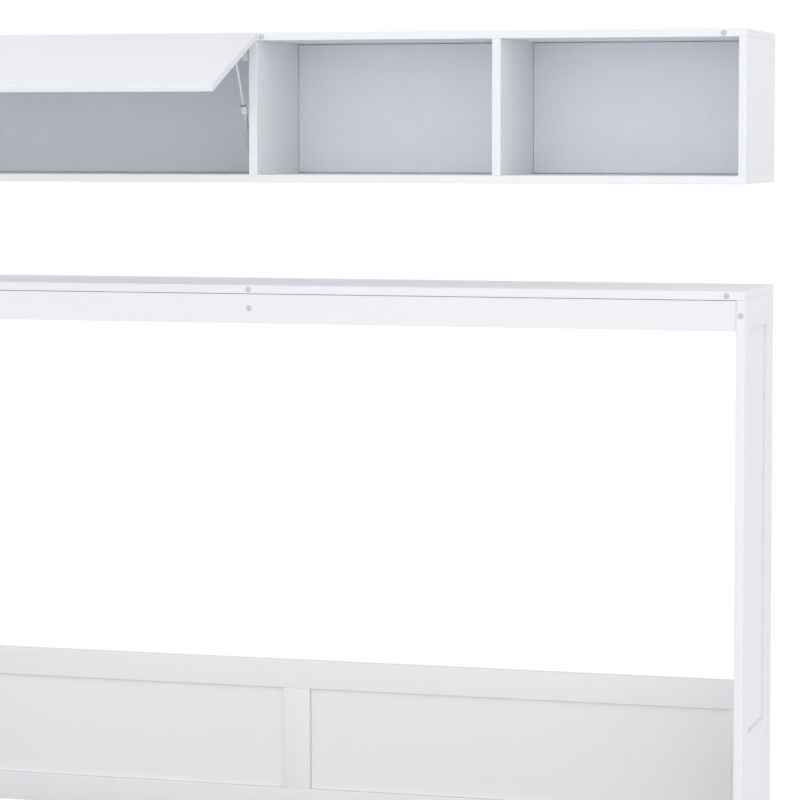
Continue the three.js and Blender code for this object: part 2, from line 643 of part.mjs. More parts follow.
// The pocket in the door that takes a hinge cup
function hingePocket({ face, inward }) {
  const spanX = armSpan(face, inward);
  const margin = SIDE_PLAY + HINGE_CHEEK + SEAT;
  return board(
    [spanX[0] - margin, spanX[1] + margin],
    [-HINGE_EYE_RADIUS - SIDE_PLAY, flapInnerFace + BITE],
    [HINGE_POCKET_TOP - HINGE_POCKET_HEIGHT, HINGE_POCKET_TOP],
  );
}

function buildFlapDoor(flap) {
  const top = FLAP_AXIS_DROP;
  const bottom = top - (CABINET_HEIGHT - FLAP_REVEAL - FLAP_BOTTOM_REVEAL);
  const spanX = [FLAP_REVEAL - halfWidth, flapDividerRight];
  const door = board(spanX, [-FLAP_AXIS_DEPTH, flapInnerFace], [bottom, top]);
  place(flap, 'flap_door', cut(door, ...FLAP_FACES.map(hingePocket)), whiteBoard());
}

// The bracket on the door whose stud the rod's eye sits beside
function buildStrutHead(flap, { face, inward, word }) {
  const studY = flapInnerFace + FLAP_STUD_STANDOFF;
  const half = FLAP_BRACKET_LENGTH / 2;
  const eyeSide = FLAP_STRUT_OFFSET - FLAP_EYE_WIDTH / 2 - SIDE_PLAY;
  const cheekX = from(face, inward, eyeSide - 2 * FLAP_BRACKET_WALL, eyeSide - FLAP_BRACKET_WALL);
  const base = board(
    from(face, inward, 0, eyeSide),
    [flapInnerFace + SEAT, flapInnerFace + SEAT + FLAP_BRACKET_WALL],
    [-FLAP_STUD_DROP - half, half - FLAP_STUD_DROP],
  );
  const cheek = board(
    cheekX,
    [flapInnerFace + SEAT, studY + FLAP_STUD_RADIUS + FLAP_BRACKET_WALL],
    [-FLAP_STUD_DROP - half / 2, half / 2 - FLAP_STUD_DROP],
  );
  const studSpan = from(face, inward, eyeSide - FLAP_BRACKET_WALL - BITE, eyeSide);
  const stud = pinAlongX(FLAP_STUD_RADIUS, studSpan, studY, -FLAP_STUD_DROP);
  place(flap, `flap_strut_head_${word}`, joined(base, cheek, stud), zincSteel());
}

// Where a place on the closed flap, counted from its axis, lies when the flap stands open
function onOpenFlap(y, z) {
  const cos = Math.cos(FLAP_OPEN_ANGLE);
  const sin = Math.sin(FLAP_OPEN_ANGLE);
  return [flapAxisY + y * cos + z * sin, flapAxisZ - y * sin + z * cos];
}

function buildFlapStrut(cabinet, { face, inward, word }) {
  const anchor = [FLAP_STRUT_ANCHOR_SETBACK, cabinetTop - FLAP_STRUT_ANCHOR_DROP];
  const stud = onOpenFlap(flapInnerFace + FLAP_STUD_STANDOFF, -FLAP_STUD_DROP);
  const common = {
    rod: FLAP_ROD_RADIUS,
    eyeRadius: FLAP_EYE_RADIUS,
    eyeWidth: FLAP_EYE_WIDTH,
    studRadius: FLAP_STUD_RADIUS,
  };
  const strut = aimed(face + inward * FLAP_STRUT_OFFSET, anchor, stud);
  const tube = strutTube({
    ...common,
    radius: FLAP_TUBE_RADIUS,
    length: FLAP_TUBE_LENGTH,
    wall: BITE,
    collar: { radius: FLAP_COLLAR_RADIUS, length: FLAP_COLLAR_LENGTH },
  });
  const rod = strutRod({
    ...common,
    head: FLAP_TUBE_RADIUS - BITE - BORE_PLAY,
    headLength: FLAP_EYE_WIDTH,
    start: FLAP_ROD_DEPTH,
    end: Math.hypot(anchor[0] - stud[0], anchor[1] - stud[1]),
  });
  place(strut, `flap_strut_tube_${word}`, tube, greySteel());
  place(strut, `flap_strut_rod_${word}`, rod, zincSteel());
  cabinet.add(strut);
}

function buildFlap(cabinet) {
  const flap = new THREE.Group();
  flap.position.set(0, flapAxisY, flapAxisZ);
  flap.rotation.x = -FLAP_OPEN_ANGLE;
  buildFlapDoor(flap);
  for (const each of FLAP_FACES) {
    buildHingeArm(cabinet, each);
    buildHingeCup(flap, each);
    buildStrutFoot(cabinet, each);
    buildStrutHead(flap, each);
    buildFlapStrut(cabinet, each);
  }
  cabinet.add(flap);
}

function buildBed(frame) {
  const bed = new THREE.Group();
  bed.position.set(0, PIVOT_SETBACK, PIVOT_HEIGHT);
  bed.rotation.x = LOWERED_ANGLE;
  buildBedBase(bed);
  buildSlats(bed);
  buildBedPanel(bed);
  buildPivotPlates(bed);
  buildLegs(bed);
  frame.add(bed);
}

function buildWallBed() {
  const wallBed = new THREE.Group();
  wallBed.position.y = originShift;
  buildSides(wallBed);
  buildTopAndRails(wallBed);
  buildBackboard(wallBed);
  buildPlinth(wallBed);
  buildLiftFittings(wallBed);
  buildBed(wallBed);
  buildBedStruts(wallBed);
  buildCabinet(wallBed);
  buildFlap(wallBed);
  return wallBed;
}

export default buildWallBed();
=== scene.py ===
"""Looks of a horizontal wall bed and the cabinet that hangs above it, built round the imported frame.

Metres. X runs along the wall, +Y points to the wall, Z up from the floor.
"""

import json
import logging
import math
from collections.abc import Iterable, Mapping
from dataclasses import dataclass, field
from enum import Enum
from typing import Any

import bmesh
import bpy
from mathutils import Matrix, Vector

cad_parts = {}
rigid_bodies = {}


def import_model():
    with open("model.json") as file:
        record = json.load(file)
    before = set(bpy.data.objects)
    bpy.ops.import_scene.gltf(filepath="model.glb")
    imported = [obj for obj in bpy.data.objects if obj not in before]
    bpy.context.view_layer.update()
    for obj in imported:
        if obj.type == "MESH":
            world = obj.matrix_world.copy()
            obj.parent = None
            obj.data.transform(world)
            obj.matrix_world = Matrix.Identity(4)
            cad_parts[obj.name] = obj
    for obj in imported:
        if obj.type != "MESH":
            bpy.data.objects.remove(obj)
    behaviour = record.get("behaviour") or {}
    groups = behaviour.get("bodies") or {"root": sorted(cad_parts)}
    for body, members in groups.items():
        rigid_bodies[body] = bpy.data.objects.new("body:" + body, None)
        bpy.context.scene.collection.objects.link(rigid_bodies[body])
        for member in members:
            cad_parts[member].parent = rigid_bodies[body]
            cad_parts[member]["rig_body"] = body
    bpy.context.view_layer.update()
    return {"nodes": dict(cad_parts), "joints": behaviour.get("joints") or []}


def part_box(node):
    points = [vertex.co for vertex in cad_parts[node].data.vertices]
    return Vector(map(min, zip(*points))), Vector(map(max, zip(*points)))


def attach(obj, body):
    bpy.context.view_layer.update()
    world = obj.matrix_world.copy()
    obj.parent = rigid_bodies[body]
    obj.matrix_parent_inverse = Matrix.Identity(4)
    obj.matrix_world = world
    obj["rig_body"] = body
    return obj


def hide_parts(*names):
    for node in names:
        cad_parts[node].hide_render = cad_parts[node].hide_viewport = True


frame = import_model()

LOG = logging.getLogger("wall_bed")

Mesh = bmesh.types.BMesh
Piece = bpy.types.Object
Socket = bpy.types.NodeSocket
Tree = bpy.types.NodeTree
Profile = list[tuple[float, float]]
Outline = tuple[tuple[float, float], ...]

MM = 0.001
MERGE = 0.01 * MM
# Faces that meet at less than the flat angle become one, edges above the sharp angle stay crisp
FLAT_ANGLE = math.radians(0.5)
SHARP_ANGLE = math.radians(32)
# How many faces go round a turned piece, and round a small one such as a screw's head
ROUND_STEPS = 32
SMALL_ROUND_STEPS = 24
IMAGE_WIDTH = 800
SENSOR_WIDTH = 36.0
# A colour mix node keeps its colour sockets at these places
MIX_A = 6
MIX_B = 7
MIX_RESULT = 2
# A wave texture turns twenty times its scale in radians over one metre
WAVE_TURN = math.tau / 20

TO_ROOM = Vector((0, -1, 0))
TO_WALL = Vector((0, 1, 0))
UP = Vector((0, 0, 1))
DOWN = Vector((0, 0, -1))
RIGHT = Vector((1, 0, 0))


class Slot(Enum):
    """The record's material slots."""

    BOARD = "white_board"
    BACK = "back_panel"
    SLAT = "slat_wood"
    STEEL = "frame_steel"
    ZINC = "zinc_steel"


class Side(Enum):
    """The two ends of the bed, seen from the room."""

    LEFT = -1
    RIGHT = 1

    @property
    def word(self) -> str:
        """The word that the side has in the names of nodes."""
        return self.name.lower()


class Drive(Enum):
    """The recess that a screw is turned by."""

    CROSS = "cross"
    SOCKET = "socket"

    def reach(self, angle: float) -> float:
        """Gives the recess's share of its full radius.

        Args:
            angle: The direction from the screw's axis, in radians.

        Returns:
            A share between 0 and 1.
        """
        if self is Drive.SOCKET:
            half_side = math.pi / 6
            return math.cos(half_side) / math.cos(angle % (2 * half_side) - half_side)
        valley = 0.35
        narrowness = 6
        return valley + (1 - valley) * math.cos(2 * angle) ** narrowness


def linear(colour: str) -> tuple[float, float, float, float]:
    """Turns an sRGB hex colour into linear light.

    Args:
        colour: Six hex digits after a number sign.

    Returns:
        Red, green, blue and an alpha of one.
    """
    shares = [int(colour[start : start + 2], 16) / 255 for start in (1, 3, 5)]
    light = [share / 12.92 if share <= 0.04045 else ((share + 0.055) / 1.055) ** 2.4 for share in shares]
    return (*light, 1.0)


def per_metre(size_mm: float) -> float:
    """How many times a pattern of that size repeats in a metre."""
    return 1 / (size_mm * MM)


def add_node(
    tree: Tree, kind: str, inputs: Mapping[str | int, Any] | None = None, **settings: Any
) -> bpy.types.Node:
    """Adds a node with its settings and links.

    Args:
        tree: The node tree that it goes into.
        kind: The node's type.
        inputs: For each input, by name or place, a value or the output that feeds it.
        settings: The node's own properties.

    Returns:
        The node.
    """
    node = tree.nodes.new(kind)
    for name, value in settings.items():
        setattr(node, name, value)
    for name, value in (inputs or {}).items():
        if isinstance(value, bpy.types.NodeSocket):
            tree.links.new(value, node.inputs[name])
        else:
            node.inputs[name].default_value = value
    return node


@dataclass(frozen=True)
class Finish:
    """A finish: one material, made once, its patterns scaled from real sizes in millimetres."""

    name: str
    slot: Slot
    colour: str
    roughness: float
    metallic: float = 0.0
    specular: float = 0.5

    def material(self) -> bpy.types.Material:
        """Returns the material, made on its first use."""
        return bpy.data.materials.get(self.name) or self.mixed()

    def mixed(self) -> bpy.types.Material:
        """Makes the material.

        Returns:
            A material whose surface has the finish's colour, gloss and pattern.
        """
        material = bpy.data.materials.new(self.name)
        material.use_nodes = True
        tree = material.node_tree
        shader = tree.nodes["Principled BSDF"]
        shader.inputs["Base Color"].default_value = linear(self.colour)
        shader.inputs["Roughness"].default_value = self.roughness
        shader.inputs["Metallic"].default_value = self.metallic
        shader.inputs["Specular IOR Level"].default_value = self.specular
        coordinates = add_node(tree, "ShaderNodeTexCoord")
        self.pattern(tree, shader, coordinates)
        return material

    def pattern(self, tree: Tree, shader: bpy.types.Node, coordinates: bpy.types.Node) -> None:
        """Adds what the eye sees of how the surface was made; each finish has its own."""


@dataclass(frozen=True)
class SprayedLacquer(Finish):
    """White satin lacquer sprayed on fibreboard: even, with a soft sheen and a faint orange peel."""

    shade: str = "#eff0f3"
    cloud_mm: float = 420.0
    # The real peel is about 1 mm; it is drawn coarser so that it shows at the distance of the view
    peel_mm: float = 3.0
    peel_depth_mm: float = 0.02
    gloss_spread: float = 0.05

    def pattern(self, tree: Tree, shader: bpy.types.Node, coordinates: bpy.types.Node) -> None:
        """Adds clouds in the tone and in the gloss, and the orange peel.

        Args:
            tree: The material's nodes.
            shader: Its surface shader.
            coordinates: Its texture coordinates.
        """
        place = coordinates.outputs["Object"]
        cloud = add_node(tree, "ShaderNodeTexNoise", {"Vector": place, "Scale": per_metre(self.cloud_mm)})
        tone = add_node(
            tree,
            "ShaderNodeMix",
            {"Factor": cloud.outputs[0], MIX_A: linear(self.colour), MIX_B: linear(self.shade)},
            data_type="RGBA",
        )
        tree.links.new(tone.outputs[MIX_RESULT], shader.inputs["Base Color"])
        gloss = add_node(
            tree,
            "ShaderNodeMapRange",
            {
                "Value": cloud.outputs[0],
                "To Min": self.roughness - self.gloss_spread,
                "To Max": self.roughness + self.gloss_spread,
            },
        )
        tree.links.new(gloss.outputs[0], shader.inputs["Roughness"])
        peel = add_node(
            tree, "ShaderNodeTexNoise", {"Vector": place, "Scale": per_metre(self.peel_mm), "Detail": 1.0}
        )
        bump = add_node(
            tree,
            "ShaderNodeBump",
            {"Height": peel.outputs[0], "Distance": self.peel_depth_mm * MM, "Strength": 0.6},
        )
        tree.links.new(bump.outputs[0], shader.inputs["Normal"])


@dataclass(frozen=True)
class PrintedHardboard(Finish):
    """Hardboard with a matt white printed coat: the fibres below leave a fine mottle."""

    shade: str = "#e3e5eb"
    mottle_mm: float = 60.0
    fibre_mm: float = 2.5
    fibre_depth_mm: float = 0.03

    def pattern(self, tree: Tree, shader: bpy.types.Node, coordinates: bpy.types.Node) -> None:
        """Adds the mottle and the print of the fibres.

        Args:
            tree: The material's nodes.
            shader: Its surface shader.
            coordinates: Its texture coordinates.
        """
        place = coordinates.outputs["Object"]
        mottle = add_node(
            tree, "ShaderNodeTexNoise", {"Vector": place, "Scale": per_metre(self.mottle_mm), "Detail": 6.0}
        )
        tone = add_node(
            tree,
            "ShaderNodeMix",
            {"Factor": mottle.outputs[0], MIX_A: linear(self.colour), MIX_B: linear(self.shade)},
            data_type="RGBA",
        )
        tree.links.new(tone.outputs[MIX_RESULT], shader.inputs["Base Color"])
        fibre = add_node(
            tree,
            "ShaderNodeTexNoise",
            {"Vector": place, "Scale": per_metre(self.fibre_mm), "Distortion": 1.5},
        )
        bump = add_node(
            tree,
            "ShaderNodeBump",
            {"Height": fibre.outputs[0], "Distance": self.fibre_depth_mm * MM, "Strength": 0.4},
        )
        tree.links.new(bump.outputs[0], shader.inputs["Normal"])


@dataclass(frozen=True)
class LayeredBeech(Finish):
    """Layered beech under clear varnish: warm, with a straight grain, dark flecks and plied edges."""

    dark: str = "#dfcbab"
    fleck: str = "#b8986f"
    # How far apart the slats lie, so that each is cut from a veneer of its own
    slat_pitch_mm: float = 121.875
    grain_mm: float = 5.0
    grain_length_mm: float = 160.0
    grain_depth_mm: float = 0.08
    fleck_mm: float = 0.8
    fleck_length_mm: float = 7.0
    ply_mm: float = 1.5

    def pattern(self, tree: Tree, shader: bpy.types.Node, coordinates: bpy.types.Node) -> None:
        """Adds grain, flecks and plies, each slat cut from another veneer.

        Args:
            tree: The material's nodes.
            shader: Its surface shader.
            coordinates: Its texture coordinates.
        """
        place = coordinates.outputs["Object"]
        axes = add_node(tree, "ShaderNodeSeparateXYZ", {0: place})
        count = add_node(
            tree,
            "ShaderNodeMath",
            {0: axes.outputs["X"], 1: per_metre(self.slat_pitch_mm)},
            operation="MULTIPLY",
        )
        number = add_node(tree, "ShaderNodeMath", {0: count.outputs[0]}, operation="FLOOR")
        veneer = add_node(tree, "ShaderNodeTexWhiteNoise", {"W": number.outputs[0]}, noise_dimensions="1D")
        offset = add_node(
            tree, "ShaderNodeVectorMath", {0: place, 1: veneer.outputs["Color"]}, operation="ADD"
        )
        grain_across = per_metre(self.grain_mm)
        along_grain = add_node(
            tree,
            "ShaderNodeMapping",
            {
                "Vector": offset.outputs[0],
                "Scale": (grain_across, per_metre(self.grain_length_mm), grain_across),
            },
        )
        grain = add_node(
            tree,
            "ShaderNodeTexNoise",
            {"Vector": along_grain.outputs[0], "Scale": 1.0, "Detail": 5.0, "Distortion": 0.4},
        )
        tone = add_node(
            tree,
            "ShaderNodeMix",
            {"Factor": grain.outputs[0], MIX_A: linear(self.colour), MIX_B: linear(self.dark)},
            data_type="RGBA",
        )
        fleck_across = per_metre(self.fleck_mm)
        along_fleck = add_node(
            tree,
            "ShaderNodeMapping",
            {
                "Vector": offset.outputs[0],
                "Scale": (fleck_across, per_metre(self.fleck_length_mm), fleck_across),
            },
        )
        specks = add_node(tree, "ShaderNodeTexNoise", {"Vector": along_fleck.outputs[0], "Scale": 1.0})
        share = add_node(
            tree,
            "ShaderNodeMapRange",
            {"Value": specks.outputs[0], "From Min": 0.62, "From Max": 0.72, "To Max": 0.55},
        )
        flecked = add_node(
            tree,
            "ShaderNodeMix",
            {"Factor": share.outputs[0], MIX_A: tone.outputs[MIX_RESULT], MIX_B: linear(self.fleck)},
            data_type="RGBA",
        )
        plies = add_node(
            tree,
            "ShaderNodeTexWave",
            {"Vector": place, "Scale": WAVE_TURN * per_metre(2 * self.ply_mm)},
            bands_direction="Z",
        )
        normal = add_node(tree, "ShaderNodeSeparateXYZ", {0: coordinates.outputs["Normal"]})
        steep = add_node(
            tree, "ShaderNodeMath", {0: normal.outputs["Z"], 1: normal.outputs["Z"]}, operation="MULTIPLY"
        )
        edge = add_node(
            tree,
            "ShaderNodeMapRange",
            {"Value": steep.outputs[0], "From Min": 0.05, "From Max": 0.3, "To Min": 0.45, "To Max": 0.0},
        )
        ply_share = add_node(
            tree, "ShaderNodeMath", {0: edge.outputs[0], 1: plies.outputs["Fac"]}, operation="MULTIPLY"
        )
        layered = add_node(
            tree,
            "ShaderNodeMix",
            {"Factor": ply_share.outputs[0], MIX_A: flecked.outputs[MIX_RESULT], MIX_B: linear(self.fleck)},
            data_type="RGBA",
        )
        tree.links.new(layered.outputs[MIX_RESULT], shader.inputs["Base Color"])
        bump = add_node(
            tree,
            "ShaderNodeBump",
            {"Height": grain.outputs[0], "Distance": self.grain_depth_mm * MM, "Strength": 0.5},
        )
        tree.links.new(bump.outputs[0], shader.inputs["Normal"])


@dataclass(frozen=True)
class PowderCoat(Finish):
    """Baked powder coat on steel: an even colour over a fine, slightly lumpy film."""

    shade: str = "#9a9da1"
    # The real lumps are about 1 mm; they are drawn coarser so that they show
    lump_mm: float = 2.0
    lump_depth_mm: float = 0.05

    def pattern(self, tree: Tree, shader: bpy.types.Node, coordinates: bpy.types.Node) -> None:
        """Adds the lumps of the film and the tone that they carry.

        Args:
            tree: The material's nodes.
            shader: Its surface shader.
            coordinates: Its texture coordinates.
        """
        place = coordinates.outputs["Object"]
        lumps = add_node(
            tree, "ShaderNodeTexNoise", {"Vector": place, "Scale": per_metre(self.lump_mm), "Detail": 3.0}
        )
        tone = add_node(
            tree,
            "ShaderNodeMix",
            {"Factor": lumps.outputs[0], MIX_A: linear(self.colour), MIX_B: linear(self.shade)},
            data_type="RGBA",
        )
        tree.links.new(tone.outputs[MIX_RESULT], shader.inputs["Base Color"])
        bump = add_node(
            tree,
            "ShaderNodeBump",
            {"Height": lumps.outputs[0], "Distance": self.lump_depth_mm * MM, "Strength": 0.5},
        )
        tree.links.new(bump.outputs[0], shader.inputs["Normal"])


@dataclass(frozen=True)
class PlatedSteel(Finish):
    """Steel with a thin plated or polished skin: a metal whose gloss changes in faint streaks."""

    streak_mm: float = 1.2
    streak_length_mm: float = 30.0
    gloss_spread: float = 0.08

    def pattern(self, tree: Tree, shader: bpy.types.Node, coordinates: bpy.types.Node) -> None:
        """Adds the streaks in the gloss.

        Args:
            tree: The material's nodes.
            shader: Its surface shader.
            coordinates: Its texture coordinates.
        """
        across = per_metre(self.streak_mm)
        along = add_node(
            tree,
            "ShaderNodeMapping",
            {
                "Vector": coordinates.outputs["Object"],
                "Scale": (across, across, per_metre(self.streak_length_mm)),
            },
        )
        streaks = add_node(
            tree, "ShaderNodeTexNoise", {"Vector": along.outputs[0], "Scale": 1.0, "Detail": 3.0}
        )
        gloss = add_node(
            tree,
            "ShaderNodeMapRange",
            {
                "Value": streaks.outputs[0],
                "To Min": self.roughness - self.gloss_spread,
                "To Max": self.roughness + self.gloss_spread,
            },
        )
        tree.links.new(gloss.outputs[0], shader.inputs["Roughness"])


@dataclass(frozen=True)
class MouldedPlastic(Finish):
    """Injection-moulded plastic: one colour with a fine eroded grain from the mould."""

    # The real grain is about 0.2 mm; it is drawn coarser so that it shows
    grain_mm: float = 0.9
    grain_depth_mm: float = 0.03

    def pattern(self, tree: Tree, shader: bpy.types.Node, coordinates: bpy.types.Node) -> None:
        """Adds the grain of the mould.

        Args:
            tree: The material's nodes.
            shader: Its surface shader.
            coordinates: Its texture coordinates.
        """
        grain = add_node(
            tree,
            "ShaderNodeTexNoise",
            {"Vector": coordinates.outputs["Object"], "Scale": per_metre(self.grain_mm)},
        )
        bump = add_node(
            tree,
            "ShaderNodeBump",
            {"Height": grain.outputs[0], "Distance": self.grain_depth_mm * MM, "Strength": 0.5},
        )
        tree.links.new(bump.outputs[0], shader.inputs["Normal"])


@dataclass(frozen=True)
class WovenTape(Finish):
    """Woven polyester tape: two sets of threads that pass over and under each other."""

    # The colour where the threads dip between each other: a painted shade in the hollows of the weave
    gap: str = "#b9b4a8"
    # The real threads are about 0.6 mm; they are drawn coarser so that they show
    thread_mm: float = 1.6
    thread_depth_mm: float = 0.3

    def pattern(self, tree: Tree, shader: bpy.types.Node, coordinates: bpy.types.Node) -> None:
        """Adds the threads, as waves along and across the tape, painted darker where they dip.

        Args:
            tree: The material's nodes.
            shader: Its surface shader.
            coordinates: Its texture coordinates.
        """
        place = coordinates.outputs["Object"]
        scale = WAVE_TURN * per_metre(2 * self.thread_mm)
        warp = add_node(tree, "ShaderNodeTexWave", {"Vector": place, "Scale": scale}, bands_direction="X")
        weft = add_node(tree, "ShaderNodeTexWave", {"Vector": place, "Scale": scale}, bands_direction="Y")
        threads = add_node(
            tree, "ShaderNodeMath", {0: warp.outputs["Fac"], 1: weft.outputs["Fac"]}, operation="MULTIPLY"
        )
        # Where either set of threads dips, the tape takes the gap colour: painted shade between the threads
        tone = add_node(
            tree,
            "ShaderNodeMix",
            {"Factor": threads.outputs[0], MIX_A: linear(self.gap), MIX_B: linear(self.colour)},
            data_type="RGBA",
        )
        tree.links.new(tone.outputs[MIX_RESULT], shader.inputs["Base Color"])
        bump = add_node(
            tree,
            "ShaderNodeBump",
            {"Height": threads.outputs[0], "Distance": self.thread_depth_mm * MM, "Strength": 0.6},
        )
        tree.links.new(bump.outputs[0], shader.inputs["Normal"])


# The boards: bright and even, with a soft sheen that mirrors nothing
LACQUER = SprayedLacquer("satin_white_lacquer_sprayed", Slot.BOARD, "#f2f3f6", 0.6, specular=0.3)
# The cabinet's back: duller and a little cooler than the boards round it
HARDBOARD = PrintedHardboard("matt_white_printed_hardboard", Slot.BACK, "#ebedf3", 0.6, specular=0.3)
# The slats: the one warm colour, with a grain that runs along each slat
BEECH = LayeredBeech("clear_varnished_layered_beech", Slot.SLAT, "#ece0ca", 0.42)
# The bed's tubes: a flat grey that reads as painted steel
GREY_COAT = PowderCoat("silver_grey_powder_coat", Slot.STEEL, "#a7aaad", 0.45)
# The tubes of the bed's gas struts: smoother and lighter than the powder coat
STRUT_PAINT = PowderCoat("light_grey_strut_enamel", Slot.STEEL, "#b9bbbe", 0.3, 0.4, shade="#aeb0b3")
# Plates, brackets and screws: bright metal with a broad, soft gloss
ZINC = PlatedSteel("bright_zinc_plated_steel", Slot.ZINC, "#cfd1d3", 0.3, 1.0)
# The rods of the bed's gas struts: nearly a mirror, with a narrow gloss
CHROME = PlatedSteel("hard_chromed_rod", Slot.ZINC, "#dcdddf", 0.14, 1.0, gloss_spread=0.04)
# The tubes of the flap's gas struts: pale metal, lighter along the middle
SATIN_STEEL = PlatedSteel("satin_polished_steel_tube", Slot.STEEL, "#d4d5d8", 0.27, 1.0, gloss_spread=0.05)
# Their sleeves: paler still, so that they stand out from the tubes
PALE_STEEL = PlatedSteel("pale_nickel_plated_sleeve", Slot.STEEL, "#e8e9eb", 0.35, 1.0, gloss_spread=0.05)
# Their rods: thin light lines against the bay behind them
SATIN_CHROME = PlatedSteel("satin_chromed_thin_rod", Slot.ZINC, "#e6e7e9", 0.42, 0.7, gloss_spread=0.05)
# The bumper pads: a frosted grey dot on the white edges
GREY_PAD = MouldedPlastic("frosted_polyurethane_pad", Slot.BACK, "#c9cbd0", 0.35)
# Caps and glides: small black ends to the grey tubes
BLACK_NYLON = MouldedPlastic("black_moulded_nylon", Slot.STEEL, "#2b2c2e", 0.5)
# Bushes and glands: a dull mid grey between the metals
GREY_NYLON = MouldedPlastic("grey_moulded_nylon", Slot.STEEL, "#84868a", 0.5)
# The hinge covers: a pale patch in the dark corner of the bay
PALE_NYLON = MouldedPlastic("pale_grey_moulded_nylon", Slot.BACK, "#dcdee1", 0.4)
# The tapes across the slats: off-white and rough, without a gloss
TAPE = WovenTape("natural_woven_polyester_tape", Slot.SLAT, "#ece7db", 0.8)


def merged_copy(node: str) -> Mesh:
    """Copies a frame node's solid.

    Args:
        node: The node's name.

    Returns:
        The solid with its loose triangles merged and its flat faces made whole.
    """
    mesh = bmesh.new()
    mesh.from_mesh(frame["nodes"][node].data)
    bmesh.ops.remove_doubles(mesh, verts=mesh.verts, dist=MERGE)
    bmesh.ops.dissolve_limit(mesh, angle_limit=FLAT_ANGLE, verts=mesh.verts, edges=mesh.edges)
    return mesh


def scaled(outline: Outline, radius: float, height: float) -> Profile:
    """Turns an outline given in shares of a radius and a height into metres."""
    return [(radius * across, height * up) for across, up in outline]


def turned(profile: Profile, steps: int = ROUND_STEPS) -> Mesh:
    """Turns a profile about Z.

    Args:
        profile: Radius and height of each point, from axis to axis or round a closed loop.
        steps: How many faces go round.

    Returns:
        The closed solid.
    """
    mesh = bmesh.new()
    points = [mesh.verts.new((radius, 0, height)) for radius, height in profile]
    edges = [mesh.edges.new(pair) for pair in zip(points, points[1:])]
    if profile[0][0] > 0:
        edges.append(mesh.edges.new((points[-1], points[0])))
    bmesh.ops.spin(
        mesh,
        geom=points + edges,
        cent=(0, 0, 0),
        axis=(0, 0, 1),
        dvec=(0, 0, 0),
        angle=math.tau,
        steps=steps,
        use_merge=True,
    )
    bmesh.ops.remove_doubles(mesh, verts=mesh.verts, dist=MERGE)
    bmesh.ops.recalc_face_normals(mesh, faces=mesh.faces)
    return mesh


def block(low: Vector, high: Vector) -> Mesh:
    """Makes a box between two corners.

    Args:
        low: The lowest corner.
        high: The highest corner.

    Returns:
        The box.
    """
    mesh = bmesh.new()
    place = Matrix.Translation((low + high) / 2) @ Matrix.Diagonal((*(high - low), 1))
    bmesh.ops.create_cube(mesh, size=1, matrix=place)
    return mesh


def rounded(mesh: Mesh, radius: float, segments: int = 3) -> Mesh:
    """Rounds every edge of a mesh.

    Args:
        mesh: The mesh, which is changed.
        radius: The radius of the rounding.
        segments: How many faces go round each edge.

    Returns:
        The same mesh.
    """
    bmesh.ops.bevel(
        mesh,
        geom=mesh.edges[:],
        offset=radius,
        segments=segments,
        profile=0.5,
        affect="EDGES",
        material=-1,
    )
    return mesh


def facing(point: Vector, direction: Vector, turn: float = 0.0) -> Matrix:
    """Places a small part that is drawn standing on Z.

    Args:
        point: Where its foot goes.
        direction: Where its Z axis points.
        turn: How far it is turned about that axis, in radians.

    Returns:
        The part's matrix.
    """
    stand = direction.to_track_quat("Z", "Y").to_matrix().to_4x4()
    return Matrix.Translation(point) @ stand @ Matrix.Rotation(turn, 4, "Z")


def copied(part: Mesh, places: Iterable[Matrix]) -> Mesh:
    """Copies a small part to each of its places.

    Args:
        part: The part, which is used up.
        places: The matrix of each copy.

    Returns:
        One mesh that holds all the copies.
    """
    shape = bpy.data.meshes.new("shape")
    part.to_mesh(shape)
    part.free()
    whole = bmesh.new()
    for place in places:
        copy = shape.copy()
        copy.transform(place)
        whole.from_mesh(copy)
        bpy.data.meshes.remove(copy)
    bpy.data.meshes.remove(shape)
    return whole


def joined(*parts: Mesh) -> Mesh:
    """Puts several meshes into one.

    Args:
        parts: The meshes, which are used up.

    Returns:
        One mesh that holds them all.
    """
    whole = bmesh.new()
    for part in parts:
        shape = bpy.data.meshes.new("shape")
        part.to_mesh(shape)
        part.free()
        whole.from_mesh(shape)
        bpy.data.meshes.remove(shape)
    return whole


def body_of(node: str) -> str:
    """The body that a frame node rides on."""
    return frame["nodes"][node]["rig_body"]


def joint(name: str) -> dict[str, Any]:
    """The joint of that name."""
    return next(each for each in frame["joints"] if each["name"] == name)


def make_piece(
    name: str, mesh: Mesh, finish: Finish, body: str, stands_for: Iterable[str] = (), easing: float = 0.0
) -> Piece:
    """Turns a mesh into a finished piece of the object.

    Args:
        name: The piece's name.
        mesh: Its mesh in place, which is used up.
        finish: Its finish.
        body: The body that it rides on.
        stands_for: The frame nodes that it takes the place of.
        easing: The radius that its edges are rounded to, or 0 to leave them as drawn.

    Returns:
        The piece.
    """
    for face in mesh.faces:
        face.smooth = True
    for edge in mesh.edges:
        edge.smooth = bool(easing) or edge.calc_face_angle(0) < SHARP_ANGLE
    data = bpy.data.meshes.new(name)
    mesh.to_mesh(data)
    mesh.free()
    data.materials.append(finish.material())
    piece = bpy.data.objects.new(name, data)
    bpy.context.scene.collection.objects.link(piece)
    if easing:
        bevel = piece.modifiers.new("eased_edges", "BEVEL")
        bevel.width = easing
        bevel.segments = 3
        bevel.limit_method = "ANGLE"
        bevel.angle_limit = SHARP_ANGLE
        bevel.harden_normals = True
    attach(piece, body)
    if stands_for:
        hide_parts(*stands_for)
    return piece


def finished_node(node: str, finish: Finish, easing: float) -> Piece:
    """Makes the piece that takes the place of a frame node.

    Args:
        node: The node, whose solid the piece keeps.
        finish: The piece's finish.
        easing: The radius that its edges are rounded to.

    Returns:
        The piece.
    """
    return make_piece(f"{node}_finished", merged_copy(node), finish, body_of(node), [node], easing)


